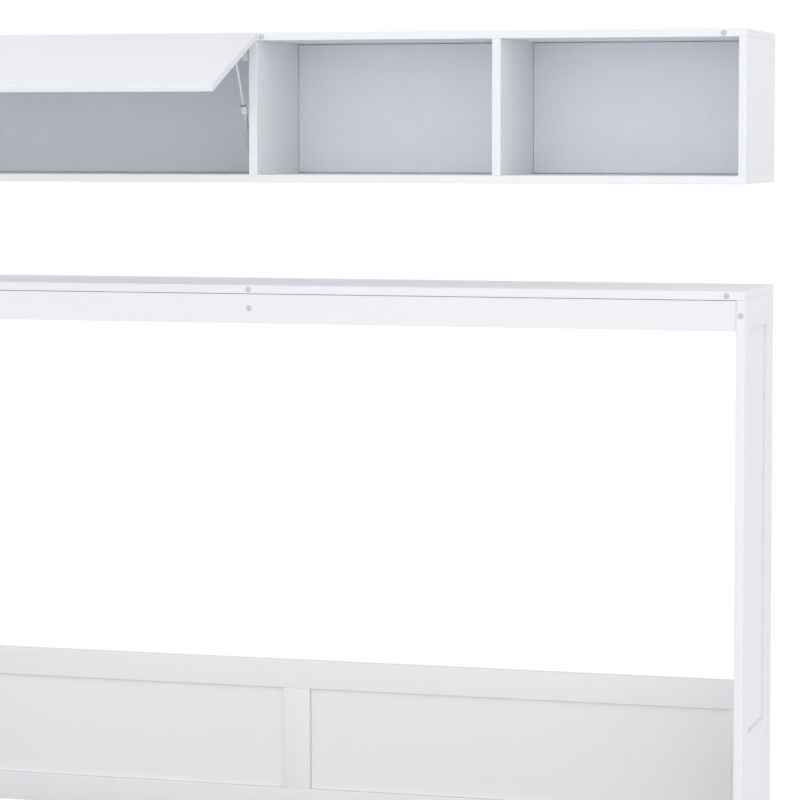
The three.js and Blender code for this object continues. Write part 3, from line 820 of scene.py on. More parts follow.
@dataclass(frozen=True)
class Screw:
    """A round-headed screw, of which only the head shows.

    The dome and the recess are drawn in shares of the head's radius and height, the recess's own
    edge and floor in shares of the recess's radius.
    """

    head_radius: float = 4.0 * MM
    head_height: float = 2.4 * MM
    drive: Drive = Drive.CROSS
    dome: Outline = ((0, 0), (1, 0), (1, 0.35), (0.9, 0.72))
    recess_share: float = 0.55
    recess_depth: float = 0.75
    recess_edge: float = 1.15
    recess_floor: float = 0.9
    recess_reach: float = 1.05

    def head(self) -> Mesh:
        """Makes the head on Z.

        Returns:
            A domed head with its recess, standing on its seat.
        """
        height = self.head_height
        recess = self.head_radius * self.recess_share
        floor = height * (1 - self.recess_depth)
        profile = scaled(self.dome, self.head_radius, height)
        profile += [(recess * self.recess_edge, height), (recess, height)]
        profile += [(recess * self.recess_floor, floor), (0, floor)]
        mesh = turned(profile, SMALL_ROUND_STEPS)
        for vertex in mesh.verts:
            away = vertex.co.xy.length
            if 0 < away < recess * self.recess_reach and vertex.co.z > floor / 2:
                share = self.drive.reach(math.atan2(vertex.co.y, vertex.co.x))
                vertex.co.x *= share
                vertex.co.y *= share
        return mesh

    def group(self, name: str, body: str, places: Iterable[Matrix]) -> Piece:
        """Makes one zinc-plated piece of several screws, from the matrix of each screw's seat."""
        return make_piece(name, copied(self.head(), places), ZINC, body)


@dataclass
class Carcass:
    """The frame: sides, top board, rails, backboard and plinth, with the screws that go into the wall."""

    easing: float = 1.2 * MM
    inset_easing: float = 0.6 * MM
    shadow_gap: float = 1.0 * MM
    fine_gap: float = 0.5 * MM
    wall_screw: Screw = field(default_factory=lambda: Screw(6.5 * MM, 3 * MM))
    wall_screw_spacing: float = 600 * MM
    wall_screw_steps: tuple[float, ...] = (-1.5, -0.5, 0.5, 1.5)
    cam_radius: float = 7.5 * MM
    cam_height: float = 0.6 * MM
    cam_from_end: float = 24 * MM
    nodes: tuple[str, ...] = (
        "top_board",
        "rear_top_rail",
        "rear_floor_rail",
        "plinth_panel",
        "backboard_top_rail",
        "backboard_bottom_rail",
        "backboard_centre_stile",
        "backboard_left_stile",
        "backboard_right_stile",
        "left_side_frame",
        "right_side_frame",
    )
    side_insets: tuple[str, ...] = ("left_side_inset", "right_side_inset")
    backboard_insets: tuple[str, ...] = ("backboard_left_panel", "backboard_right_panel")

    def build(self) -> list[Piece]:
        """Makes the frame's boards and fixings."""
        return [*self.boards(), self.wall_screws(), self.cams()]

    def boards(self) -> list[Piece]:
        """Makes every board with its edges eased, the front rail and the insets.

        Returns:
            One piece for each board.
        """
        boards = [finished_node(node, LACQUER, self.easing) for node in self.nodes]
        insets = [self.inset(node, self.shadow_gap) for node in self.side_insets]
        insets += [self.inset(node, self.fine_gap) for node in self.backboard_insets]
        return [*boards, self.front_rail(), *insets]

    def front_rail(self) -> Piece:
        """Makes the front rail, with a fine shadow gap to the top board and to the sides.

        Returns:
            The rail.
        """
        node = "front_rail"
        low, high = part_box(node)
        gap = self.shadow_gap
        rail = block(low + gap * RIGHT, high - gap * (RIGHT + UP))
        return make_piece(f"{node}_finished", rail, LACQUER, body_of(node), [node], self.inset_easing)

    def inset(self, node: str, gap: float) -> Piece:
        """Makes an inset panel, which lies in its frame with a shadow gap round it.

        Args:
            node: The panel's frame node.
            gap: The width of the gap.

        Returns:
            The panel.
        """
        low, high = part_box(node)
        size = high - low
        margin = Vector([0 if length == min(size) else gap for length in size])
        panel = block(low + margin, high - margin)
        return make_piece(f"{node}_finished", panel, LACQUER, body_of(node), [node], self.inset_easing)

    def wall_screws(self) -> Piece:
        """Makes the screws that pass through the two rear rails into the wall, each at its own turn.

        Returns:
            One piece of all the screws.
        """
        places = []
        for node in ("rear_top_rail", "rear_floor_rail"):
            low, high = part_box(node)
            height = (low.z + high.z) / 2
            for step in self.wall_screw_steps:
                point = Vector((step * self.wall_screw_spacing, low.y, height))
                places.append(facing(point, TO_ROOM, step))
        return self.wall_screw.group("frame_wall_screws", "root", places)

    def cams(self) -> Piece:
        """Makes the cam locks let into the front rail, near its ends, on the side away from the room.

        Returns:
            One piece of both cams.
        """
        low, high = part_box("front_rail")
        reach = high.x - self.cam_from_end
        points = [Vector((side.value * reach, high.y, (low.z + high.z) / 2)) for side in Side]
        cam = Screw(self.cam_radius, self.cam_height)
        return cam.group("frame_cam_locks", "root", [facing(point, TO_WALL) for point in points])


@dataclass
class BumperPads:
    """Small frosted pads that stop the bed and the doors from knocking on the boards behind them."""

    radius: float = 5.8 * MM
    thickness: float = 1.8 * MM
    top_drop: float = 9 * MM
    rail_drop: float = 49 * MM
    cabinet_drop: float = 8.5 * MM
    end_reach: float = 1017 * MM
    side_inset: float = 9 * MM
    cabinet_places: tuple[float, ...] = (31 * MM, 1008 * MM)
    # From the pad's foot to its crown, in shares of its radius and thickness
    outline: Outline = ((0, 0), (1, 0), (1, 0.4), (0.86, 0.8), (0.6, 0.96), (0, 1))

    def build(self) -> list[Piece]:
        """Makes the pads of the frame and of the cabinet.

        Returns:
            One piece for the frame and one for the cabinet.
        """
        board_low, board_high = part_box("top_board")
        rail_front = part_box("front_rail")[0].y
        upper = board_high.z - self.top_drop
        lower = board_high.z - self.rail_drop
        side_reach = board_high.x - self.side_inset
        frame_points = [Vector((x, board_low.y, upper)) for x in (-self.end_reach, 0, self.end_reach)]
        frame_points.append(Vector((0, rail_front, lower)))
        frame_points += [Vector((side.value * side_reach, board_low.y, lower)) for side in Side]
        cabinet_low, cabinet_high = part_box("cabinet_top")
        height = cabinet_high.z - self.cabinet_drop
        cabinet_points = [Vector((x, cabinet_low.y, height)) for x in self.cabinet_places]
        return [
            self.pads("frame_bumper_pads", frame_points),
            self.pads("cabinet_bumper_pads", cabinet_points),
        ]

    def pads(self, name: str, points: list[Vector]) -> Piece:
        """Makes one piece of several pads.

        Args:
            name: The piece's name.
            points: The middle of each pad's back.

        Returns:
            The piece.
        """
        pad = turned(scaled(self.outline, self.radius, self.thickness))
        places = [facing(point, TO_ROOM) for point in points]
        return make_piece(name, copied(pad, places), GREY_PAD, "root")


@dataclass
class GasStrut:
    """A gas strut: a closed tube with a sleeve and a gland, a rod that slides in it, and two eyes."""

    label: str
    tube_radius: float
    tube_length: float
    rod_radius: float
    eye_radius: float
    eye_width: float
    stud_radius: float
    sleeve_radius: float
    sleeve_length: float
    tube_skin: Finish = STRUT_PAINT
    sleeve_skin: Finish = STRUT_PAINT
    rod_skin: Finish = CHROME
    wall: float = 1.0 * MM
    play: float = 0.3 * MM
    fit: float = 0.1 * MM
    seal_depth: float = 5 * MM
    gland_height: float = 1.4 * MM
    # How far the tube is drawn in under its sleeve
    core_share: float = 0.9
    # From the tube's eye to its full width, in shares of its radius and of the neck's length
    neck_length: float = 6 * MM
    neck: Outline = ((0, 0), (0.5, 0), (0.5, 0.5), (0.86, 0.75), (1, 1.3))
    neck_solid: float = 2.0
    # The rod's inner end, counted from that end, and its nut, counted from the eye's ring
    rod_start: float = 0.42
    rod_foot: Outline = ((0, 0), (0.8, 0), (1, 0.5))
    rod_nut: Outline = ((1, -2.6), (1.9, -2.4), (1.9, -0.4), (1.634, 0), (0, 0))
    # Where tube and rod end inside the ring of their eye, in shares of the ring's radius
    eye_reach: float = 0.8
    eye_rim: float = 0.3

    def build(self, side: Side) -> list[Piece]:
        """Makes the strut of one side.

        Args:
            side: The end of the bed, or of the flap, that the strut is on.

        Returns:
            The tube, its sleeve and gland, and the rod.
        """
        tube_node = f"{self.label}_strut_tube_{side.word}"
        rod_node = f"{self.label}_strut_rod_{side.word}"
        anchor = Vector(joint(f"{self.label}_strut_swing_{side.word}")["pos_m"])
        way = Vector(joint(f"{self.label}_strut_stroke_{side.word}")["axis"])
        place = facing(anchor, way)
        tube = joined(self.barrel(), self.eye(0))
        tube.transform(place)
        sleeve = self.sleeve()
        sleeve.transform(place)
        gland = self.gland()
        gland.transform(place)
        length = self.length_to(rod_node, anchor, way)
        rod = joined(self.rod(length), self.eye(length))
        rod.transform(place)
        return [
            make_piece(f"{tube_node}_finished", tube, self.tube_skin, tube_node, [tube_node]),
            make_piece(f"{tube_node}_sleeve", sleeve, self.sleeve_skin, tube_node),
            make_piece(f"{tube_node}_gland", gland, GREY_NYLON, tube_node),
            make_piece(f"{rod_node}_finished", rod, self.rod_skin, rod_node, [rod_node]),
        ]

    def length_to(self, rod_node: str, anchor: Vector, way: Vector) -> float:
        """Works out how far the rod's eye lies from the tube's eye.

        Args:
            rod_node: The rod's frame node.
            anchor: The middle of the tube's eye.
            way: The strut's direction.

        Returns:
            The distance in metres.
        """
        vertices = frame["nodes"][rod_node].data.vertices
        return max((vertex.co - anchor).dot(way) for vertex in vertices) - self.eye_radius

    def barrel(self) -> Mesh:
        """Makes the tube on Z.

        Returns:
            A hollow tube, rounded at its closed end and drawn in where the sleeve goes round it.
        """
        outer = self.tube_radius
        inner = outer - self.wall
        core = outer * self.core_share
        bore = self.rod_radius + self.play
        start = self.eye_radius * self.eye_reach
        floor = start + self.neck_length * self.neck_solid
        sleeve = self.tube_length - self.sleeve_length
        end = self.tube_length - self.gland_height
        seal = end - self.seal_depth
        neck = scaled(self.neck, outer, self.neck_length)
        profile = [
            *((across, start + up) for across, up in neck),
            (outer, sleeve - self.wall * 2),
            (core, sleeve - self.wall),
            (core, end),
            (bore, end),
            (bore, seal),
            (inner, seal),
            (inner, floor),
            (0, floor),
        ]
        return turned(profile)

    def sleeve(self) -> Mesh:
        """Makes the sleeve round the tube's end.

        Returns:
            The sleeve, as long as the tube's drawn-in part.
        """
        inner = self.tube_radius * self.core_share + self.fit
        low = self.tube_length - self.sleeve_length
        high = self.tube_length - self.gland_height
        return turned([(inner, low), (self.sleeve_radius, low), (self.sleeve_radius, high), (inner, high)])

    def gland(self) -> Mesh:
        """Makes the gland that guides the rod out of the tube.

        Returns:
            A ring with a chamfered rim, on the tube's end.
        """
        bore = self.rod_radius + self.play
        outer = self.sleeve_radius - self.fit
        low = self.tube_length - self.gland_height + self.fit
        high = self.tube_length
        profile = [(bore, low), (outer, low), (outer, high - self.fit), (outer - 2 * self.fit, high)]
        return turned([*profile, (bore, high)])

    def rod(self, length: float) -> Mesh:
        """Makes the rod on Z.

        Args:
            length: The height of the rod's eye.

        Returns:
            The rod with a chamfered end, and the nut that locks its eye.
        """
        radius = self.rod_radius
        start = self.tube_length * self.rod_start
        end = length - self.eye_radius * self.eye_reach
        foot = [(across, start + up) for across, up in scaled(self.rod_foot, radius, radius)]
        nut = [(across, end + up) for across, up in scaled(self.rod_nut, radius, radius)]
        return turned(foot + nut)

    def eye(self, height: float) -> Mesh:
        """Makes a ring round a stud that lies along X.

        Args:
            height: The height of its middle.

        Returns:
            The ring, with both its rims rounded.
        """
        half = self.eye_width / 2
        rim = half * self.eye_rim
        outer = self.eye_radius
        bore = self.stud_radius + self.play
        profile = [
            (bore, -half),
            (outer - rim, -half),
            (outer, rim - half),
            (outer, half - rim),
            (outer - rim, half),
            (bore, half),
        ]
        ring = turned(profile)
        ring.transform(Matrix.Translation((0, 0, height)) @ Matrix.Rotation(math.pi / 2, 4, "Y"))
        return ring


@dataclass
class LiftFittings:
    """On each side of the frame, the plate with the bed's pivot and the strut's stud, and the strut."""

    easing: float = 0.6 * MM
    plate: float = 5 * MM
    margin: float = 12 * MM
    pin_radius: float = 10 * MM
    bush_radius: float = 14 * MM
    bush_play: float = 0.4 * MM
    bush_rim: float = 1.5 * MM
    # Between its rims the bush is drawn in, in shares of its radius and of a rim's width
    bush_waist: float = 0.86
    bush_slope: float = 1.6
    screw: Screw = field(default_factory=lambda: Screw(5 * MM, 2 * MM))
    # Each long edge of the plate: how far its two ends lie behind the frame's front and over the floor
    lower_edge: Outline = ((58 * MM, 150 * MM), (290 * MM, 520 * MM))
    upper_edge: Outline = ((6 * MM, 230 * MM), (210 * MM, 600 * MM))
    edge_shares: tuple[float, ...] = (0.14, 0.5, 0.86)
    strut: GasStrut = field(
        default_factory=lambda: GasStrut(
            label="bed",
            tube_radius=11 * MM,
            tube_length=235 * MM,
            rod_radius=4 * MM,
            eye_radius=10 * MM,
            eye_width=8 * MM,
            stud_radius=5 * MM,
            sleeve_radius=11 * MM,
            sleeve_length=12 * MM,
        )
    )

    def build(self) -> list[Piece]:
        """Makes both sides' fittings and struts.

        Returns:
            The plates, their screws and bushes, and the struts' pieces.
        """
        pieces = []
        for side in Side:
            pieces.append(finished_node(f"{side.word}_lift_fitting", ZINC, self.easing))
            pieces.append(self.screws(side))
            pieces.append(self.bush(side))
            pieces += self.strut.build(side)
        return pieces

    def screws(self, side: Side) -> Piece:
        """Makes the screws along the plate's two long edges.

        Args:
            side: The plate's side.

        Returns:
            One piece of six screws.
        """
        low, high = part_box(f"{side.word}_side_frame")
        face = high.x if side is Side.LEFT else low.x
        inner_face = face - side.value * self.plate
        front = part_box("top_board")[0].y
        places = []
        for (start, end), way in ((self.lower_edge, 1), (self.upper_edge, -1)):
            along = Vector((0, end[0] - start[0], end[1] - start[1]))
            inward = Vector((0, -along.z, along.y)).normalized() * way * self.margin
            for share in self.edge_shares:
                point = Vector((inner_face, front + start[0], start[1])) + along * share + inward
                places.append(facing(point, -side.value * RIGHT, share))
        return self.screw.group(f"{side.word}_lift_fitting_screws", "root", places)

    def bush(self, side: Side) -> Piece:
        """Makes the nylon bush that keeps the bed off the plate.

        Args:
            side: The bush's side.

        Returns:
            The bush, round the pivot pin.
        """
        rail_face = max(abs(corner.x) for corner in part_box(f"bed_{side.word}_rail"))
        side_face = min(abs(corner.x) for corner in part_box(f"{side.word}_side_frame"))
        start = rail_face + self.plate + self.bush_play
        length = side_face - self.plate - self.bush_play - start
        bore = self.pin_radius + self.bush_play
        outer = self.bush_radius
        waist = outer * self.bush_waist
        slope = self.bush_rim * self.bush_slope
        ring = turned(
            [
                (bore, 0),
                (outer, 0),
                (outer, self.bush_rim),
                (waist, slope),
                (waist, length - slope),
                (outer, length - self.bush_rim),
                (outer, length),
                (bore, length),
            ]
        )
        outward = side.value * RIGHT
        pivot = Vector(joint("bed_fold")["pos_m"])
        ring.transform(facing(pivot + outward * start, outward))
        return make_piece(f"{side.word}_pivot_bush", ring, GREY_NYLON, "root")


@dataclass
class BedBase:
    """The steel frame under the mattress: hollow rails with capped ends, pivot plates and their bolts."""

    # Below half the rails' wall of 2 mm, so that both edges of their open ends can be eased
    easing: float = 0.9 * MM
    plate_easing: float = 0.6 * MM
    plate_reach: float = 5 * MM
    cap_thickness: float = 2.5 * MM
    cap_rounding: float = 0.9 * MM
    strip_thickness: float = 3 * MM
    strip_overlap: float = 24 * MM
    strip_gap: float = 0.3 * MM
    bolt: Screw = field(default_factory=lambda: Screw(6.5 * MM, 4 * MM, Drive.SOCKET))
    rail_screw: Screw = field(default_factory=lambda: Screw(4.5 * MM, 2 * MM))
    # Each bolt's place along and up from the middle of the pivot plate
    bolt_places: Outline = (
        (-78 * MM, -14 * MM),
        (-78 * MM, 14 * MM),
        (78 * MM, -14 * MM),
        (26 * MM, 14 * MM),
    )
    rail_screw_count: int = 6
    rails: tuple[str, ...] = (
        "bed_front_rail",
        "bed_rear_rail",
        "bed_centre_beam",
        "bed_left_rail",
        "bed_right_rail",
    )

    def build(self) -> list[Piece]:
        """Makes the rails, their caps and screws, the closing strip and the pivot plates.

        Returns:
            One piece for each rail and plate, and the small parts in groups.
        """
        pieces = [finished_node(node, GREY_COAT, self.easing) for node in self.rails]
        pieces += [self.end_caps(), self.closing_strip(), self.rail_screws()]
        for side in Side:
            pieces.append(finished_node(f"bed_{side.word}_pivot_plate", ZINC, self.plate_easing))
            pieces.append(self.bolts(side))
        return pieces

    def end_caps(self) -> Piece:
        """Makes the plastic caps on the open ends of the two end rails.

        Returns:
            One piece of four caps.
        """
        caps = []
        for side in Side:
            low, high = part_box(f"bed_{side.word}_rail")
            front = (Vector((low.x, low.y - self.cap_thickness, low.z)), Vector((high.x, low.y, high.z)))
            rear = (Vector((low.x, high.y, low.z)), Vector((high.x, high.y + self.cap_thickness, high.z)))
            caps += [rounded(block(*corners), self.cap_rounding) for corners in (front, rear)]
        return make_piece("bed_rail_end_caps", joined(*caps), BLACK_NYLON, "bed")

    def closing_strip(self) -> Piece:
        """Makes the strip that hides the slats below the panel when the bed is up.

        Returns:
            A thin board let in between the rails, from the panel's edge to the rear rail.
        """
        rail_low, rail_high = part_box("bed_rear_rail")
        panel_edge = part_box("bed_panel_frame")[1].y
        low = Vector((rail_low.x, panel_edge - self.strip_overlap, rail_low.z))
        high = Vector((rail_high.x, rail_low.y - self.strip_gap, rail_low.z + self.strip_thickness))
        return make_piece("bed_closing_strip", block(low, high), LACQUER, "bed", easing=self.plate_easing)

    def rail_screws(self) -> Piece:
        """Makes the screws that hold the end rails down on the panel.

        Returns:
            One piece of all the screws.
        """
        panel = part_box("bed_panel_frame")
        places = []
        for side in Side:
            low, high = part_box(f"bed_{side.word}_rail")
            span = min(high.y, panel[1].y) - low.y
            for step in range(self.rail_screw_count):
                y = low.y + span * (step + 0.5) / self.rail_screw_count
                places.append(facing(Vector(((low.x + high.x) / 2, y, high.z)), UP, step))
        return self.rail_screw.group("bed_rail_screws", "bed", places)

    def bolts(self, side: Side) -> Piece:
        """Makes the bolts that hold a pivot plate on its rail.

        Args:
            side: The plate's side.

        Returns:
            One piece of four bolts.
        """
        low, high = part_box(f"bed_{side.word}_rail")
        face = side.value * (max(abs(low.x), abs(high.x)) + self.plate_reach)
        plate_low, plate_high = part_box(f"bed_{side.word}_pivot_plate")
        middle = (plate_low + plate_high) / 2
        outward = side.value * RIGHT
        places = [
            facing(Vector((face, middle.y + along, middle.z + up)), outward, along)
            for along, up in self.bolt_places
        ]
        return self.bolt.group(f"bed_{side.word}_pivot_plate_bolts", "bed", places)


@dataclass
class SlatRoll:
    """Sprung beech slats, each slightly bowed, stapled to two woven tapes."""

    node: str
    count: int = 16
    slat_width: float = 60 * MM
    slat_thickness: float = 9 * MM
    rounding: float = 2.2 * MM
    crown: float = 5 * MM
    bow_steps: int = 12
    tape_width: float = 20 * MM
    tape_thickness: float = 0.9 * MM
    tape_rounding: float = 0.36 * MM
    tape_shares: tuple[float, ...] = (0.2, 0.8)
    staple_length: float = 10 * MM
    staple_wire: float = 1.0 * MM
    staple_rounding: float = 0.3 * MM
    staple_offset: float = 12 * MM

    def build(self) -> list[Piece]:
        """Makes the slats, the tapes and the staples.

        Returns:
            One piece of each.
        """
        low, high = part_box(self.node)
        pitch = (high.x - low.x - self.slat_width) / (self.count - 1)
        centres = [low.x + self.slat_width / 2 + pitch * step for step in range(self.count)]
        slats = copied(self.slat(low, high), [Matrix.Translation((x, 0, 0)) for x in centres])
        return [
            make_piece(f"{self.node}_finished", slats, BEECH, "bed", [self.node]),
            self.tapes(low, high),
            self.staples(low, high, centres),
        ]

    def bow(self, share: float) -> float:
        """How high a slat is bowed at a share of its length."""
        return self.crown * (1 - (2 * share - 1) ** 2)

    def slat(self, low: Vector, high: Vector) -> Mesh:
        """Makes one slat in place along Y, centred on X.

        Args:
            low: The roll's lowest corner.
            high: The roll's highest corner.

        Returns:
            The slat with rounded edges, bowed upwards.
        """
        half = self.slat_width / 2
        mesh = block(Vector((-half, low.y, low.z)), Vector((half, high.y, low.z + self.slat_thickness)))
        rounded(mesh, self.rounding)
        length = high.y - low.y
        long_edges = [edge for edge in mesh.edges if edge.calc_length() > length / 2]
        bmesh.ops.subdivide_edges(mesh, edges=long_edges, cuts=self.bow_steps - 1, use_grid_fill=True)
        for vertex in mesh.verts:
            vertex.co.z += self.bow((vertex.co.y - low.y) / length)
        return mesh

    def tapes(self, low: Vector, high: Vector) -> Piece:
        """Makes the tapes that lie across the slats.

        Args:
            low: The roll's lowest corner.
            high: The roll's highest corner.

        Returns:
            One piece of both tapes.
        """
        strips = []
        for share in self.tape_shares:
            middle = low.y + (high.y - low.y) * share
            top = low.z + self.slat_thickness + self.bow(share)
            half = self.tape_width / 2
            first = Vector((low.x + self.staple_offset, middle - half, top))
            last = Vector((high.x - self.staple_offset, middle + half, top + self.tape_thickness))
            strips.append(rounded(block(first, last), self.tape_rounding, segments=2))
        return make_piece(f"{self.node}_tapes", joined(*strips), TAPE, "bed")

    def staples(self, low: Vector, high: Vector, centres: list[float]) -> Piece:
        """Makes two staples for each slat and tape.

        Args:
            low: The roll's lowest corner.
            high: The roll's highest corner.
            centres: The middle of each slat along X.

        Returns:
            One piece of all the staples.
        """
        half = Vector((self.staple_wire, self.staple_length, self.staple_wire)) / 2
        staple = rounded(block(-half, half), self.staple_rounding, segments=1)
        places = []
        for share in self.tape_shares:
            y = low.y + (high.y - low.y) * share
            z = low.z + self.slat_thickness + self.bow(share) + self.tape_thickness + half.z
            for x in centres:
                places += [Matrix.Translation((x + way * self.staple_offset, y, z)) for way in (-1, 1)]
        return make_piece(f"{self.node}_staples", copied(staple, places), ZINC, "bed")


@dataclass
class BedPanel:
    """The panel that closes the front when the bed is up, with its two inset panels."""

    easing: float = 1.2 * MM
    nodes: tuple[str, ...] = ("bed_panel_frame", "bed_panel_left_inset", "bed_panel_right_inset")

    def build(self) -> list[Piece]:
        """Makes the framed board and its insets."""
        return [finished_node(node, LACQUER, self.easing) for node in self.nodes]


@dataclass
class Legs:
    """The two legs that fold out of the panel, each a tube with a glide in a bracket."""

    easing: float = 0.5 * MM
    radius: float = 15 * MM
    tube_foot: float = 6 * MM
    tube_rounding: float = 2 * MM
    # How far the middle of that rounding stays off the corner, as a share of its radius
    rounding_middle: float = 0.3
    glide_radius: float = 19 * MM
    glide_height: float = 12 * MM
    glide_shoulder: float = 6 * MM
    glide_floor: float = 4.8 * MM
    glide_chamfer: float = 1 * MM
    glide_lip: float = 1.2 * MM
    glide_play: float = 0.2 * MM
    pin_radius: float = 6 * MM
    pin_height: float = 2 * MM
    # From the head's foot to its crown, in shares of its radius and height
    pin_head: Outline = ((0, 0), (1, 0), (0.8, 0.7), (0, 1))
    cheek: float = 18.5 * MM
    bracket_plate: float = 3 * MM
    screw: Screw = field(default_factory=lambda: Screw(3.6 * MM, 1.6 * MM))
    screw_across: float = 9 * MM
    screw_along: float = 23 * MM

    def build(self) -> list[Piece]:
        """Makes both legs.

        Returns:
            The brackets with their screws and pins, and the legs' pieces.
        """
        pieces = []
        for side in Side:
            pieces.append(finished_node(f"{side.word}_leg_bracket", ZINC, self.easing))
            pieces += self.leg(side)
            pieces.append(self.screws(side))
            pieces.append(self.pin_heads(side))
        return pieces

    def leg(self, side: Side) -> list[Piece]:
        """Makes the tube and the glide of one leg.

        Args:
            side: The leg's side.

        Returns:
            The tube, which takes the node's place, and the glide.
        """
        node = f"{side.word}_leg"
        low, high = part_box(node)
        middle = (low + high) / 2
        foot = Vector((middle.x, middle.y, low.z))
        height = high.z - low.z
        corner = self.tube_rounding * self.rounding_middle
        tube = turned(
            [
                (0, self.tube_foot),
                (self.radius, self.tube_foot),
                (self.radius, height - self.tube_rounding),
                (self.radius - corner, height - corner),
                (self.radius - self.tube_rounding, height),
                (0, height),
            ]
        )
        tube.transform(Matrix.Translation(foot))
        bore = self.radius + self.glide_play
        glide = turned(
            [
                (0, 0),
                (self.glide_radius - self.glide_chamfer, 0),
                (self.glide_radius, self.glide_chamfer),
                (self.glide_radius, self.glide_shoulder),
                (self.radius + self.glide_lip, self.glide_height),
                (bore, self.glide_height),
                (bore, self.glide_floor),
                (0, self.glide_floor),
            ]
        )
        glide.transform(Matrix.Translation(foot))
        return [
            make_piece(f"{node}_tube", tube, GREY_COAT, node, [node]),
            make_piece(f"{node}_glide", glide, BLACK_NYLON, node),
        ]

    def screws(self, side: Side) -> Piece:
        """Makes the four screws of a bracket's base.

        Args:
            side: The bracket's side.

        Returns:
            One piece of the screws, heads downwards.
        """
        low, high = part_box(f"{side.word}_leg_bracket")
        middle = (low + high) / 2
        places = []
        for across in (-self.screw_across, self.screw_across):
            for along in (-self.screw_along, self.screw_along):
                point = Vector((middle.x + across, middle.y + along, high.z - self.bracket_plate))
                places.append(facing(point, DOWN))
        return self.screw.group(f"{side.word}_leg_bracket_screws", "bed", places)

    def pin_heads(self, side: Side) -> Piece:
        """Makes the riveted heads of the pin that the leg hangs from.

        Args:
            side: The leg's side.

        Returns:
            One piece of both heads.
        """
        pin = Vector(joint(f"{side.word}_leg_fold")["pos_m"])
        head = turned(scaled(self.pin_head, self.pin_radius, self.pin_height), SMALL_ROUND_STEPS)
        places = [facing(pin + way * self.cheek * RIGHT, way * RIGHT) for way in (-1, 1)]
        return make_piece(f"{side.word}_leg_pin_heads", copied(head, places), ZINC, "bed")


@dataclass
class Cabinet:
    """The cabinet on the wall: boards, back panel, hanging rail and the plates that it hangs from."""

    easing: float = 0.8 * MM
    panel_easing: float = 0.4 * MM
    groove_width: float = 2 * MM
    groove_depth: float = 5 * MM
    corner_gap: float = 0.4 * MM
    overlap: float = 0.5 * MM
    hanger_width: float = 46 * MM
    hanger_height: float = 60 * MM
    hanger_thickness: float = 2 * MM
    hanger_rounding: float = 0.6 * MM
    hanger_from_end: float = 120 * MM
    eye_radius: float = 9 * MM
    eye_bore: float = 5 * MM
    eye_height: float = 2 * MM
    eye_chamfer: float = 1 * MM
    screw: Screw = field(default_factory=lambda: Screw(4 * MM, 1.8 * MM))
    screw_spread: float = 20.4 * MM
    boards: tuple[str, ...] = (
        "cabinet_top",
        "cabinet_bottom",
        "cabinet_left_side",
        "cabinet_right_side",
        "cabinet_flap_divider",
        "cabinet_open_divider",
        "cabinet_hanging_rail",
    )

    def build(self) -> list[Piece]:
        """Makes the boards, the back panel and the hangers."""
        pieces = [finished_node(node, LACQUER, self.easing) for node in self.boards]
        return [*pieces, self.back_panel(), *self.hangers()]

    def back_panel(self) -> Piece:
        """Makes the back panel, grooved where the boards and the dividers meet it.

        Returns:
            The panel, with a raised field in each bay.
        """
        node = "cabinet_back_panel"
        low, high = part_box(node)
        front = low.y
        dividers = [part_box(name) for name in ("cabinet_flap_divider", "cabinet_open_divider")]
        starts = [low.x, *(box[1].x for box in dividers)]
        ends = [*(box[0].x for box in dividers), high.x]
        beside = self.corner_gap
        above = self.groove_width
        base = block(Vector((low.x, front + self.groove_depth, low.z)), high)
        fields = [
            block(
                Vector((start + beside, front, low.z + above)),
                Vector((end - beside, front + self.groove_depth + self.overlap, high.z - above)),
            )
            for start, end in zip(starts, ends)
        ]
        panel = joined(base, *fields)
        return make_piece(f"{node}_finished", panel, HARDBOARD, body_of(node), [node], self.panel_easing)

    def hangers(self) -> list[Piece]:
        """Makes the two steel plates on the back of the hanging rail.

        Returns:
            The plates with their eyes, and their screws.
        """
        low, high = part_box("cabinet_hanging_rail")
        plates = []
        places = []
        half = Vector((self.hanger_width / 2, 0, self.hanger_height / 2))
        thickness = self.hanger_thickness * TO_WALL
        for side in Side:
            reach = high.x - self.hanger_from_end
            middle = Vector((side.value * reach, high.y, (low.z + high.z) / 2))
            plate = block(middle - half, middle + half + thickness)
            plates.append(rounded(plate, self.hanger_rounding, segments=2))
            eye = turned(
                [
                    (self.eye_bore, 0),
                    (self.eye_radius, 0),
                    (self.eye_radius - self.eye_chamfer, self.eye_height),
                    (self.eye_bore, self.eye_height),
                ]
            )
            seat = middle + thickness
            eye.transform(facing(seat, TO_WALL))
            plates.append(eye)
            places += [facing(seat + way * self.screw_spread * UP, TO_WALL) for way in (-1, 1)]
        return [
            make_piece("cabinet_hanger_plates", joined(*plates), ZINC, "root"),
            self.screw.group("cabinet_hanger_screws", "root", places),
        ]


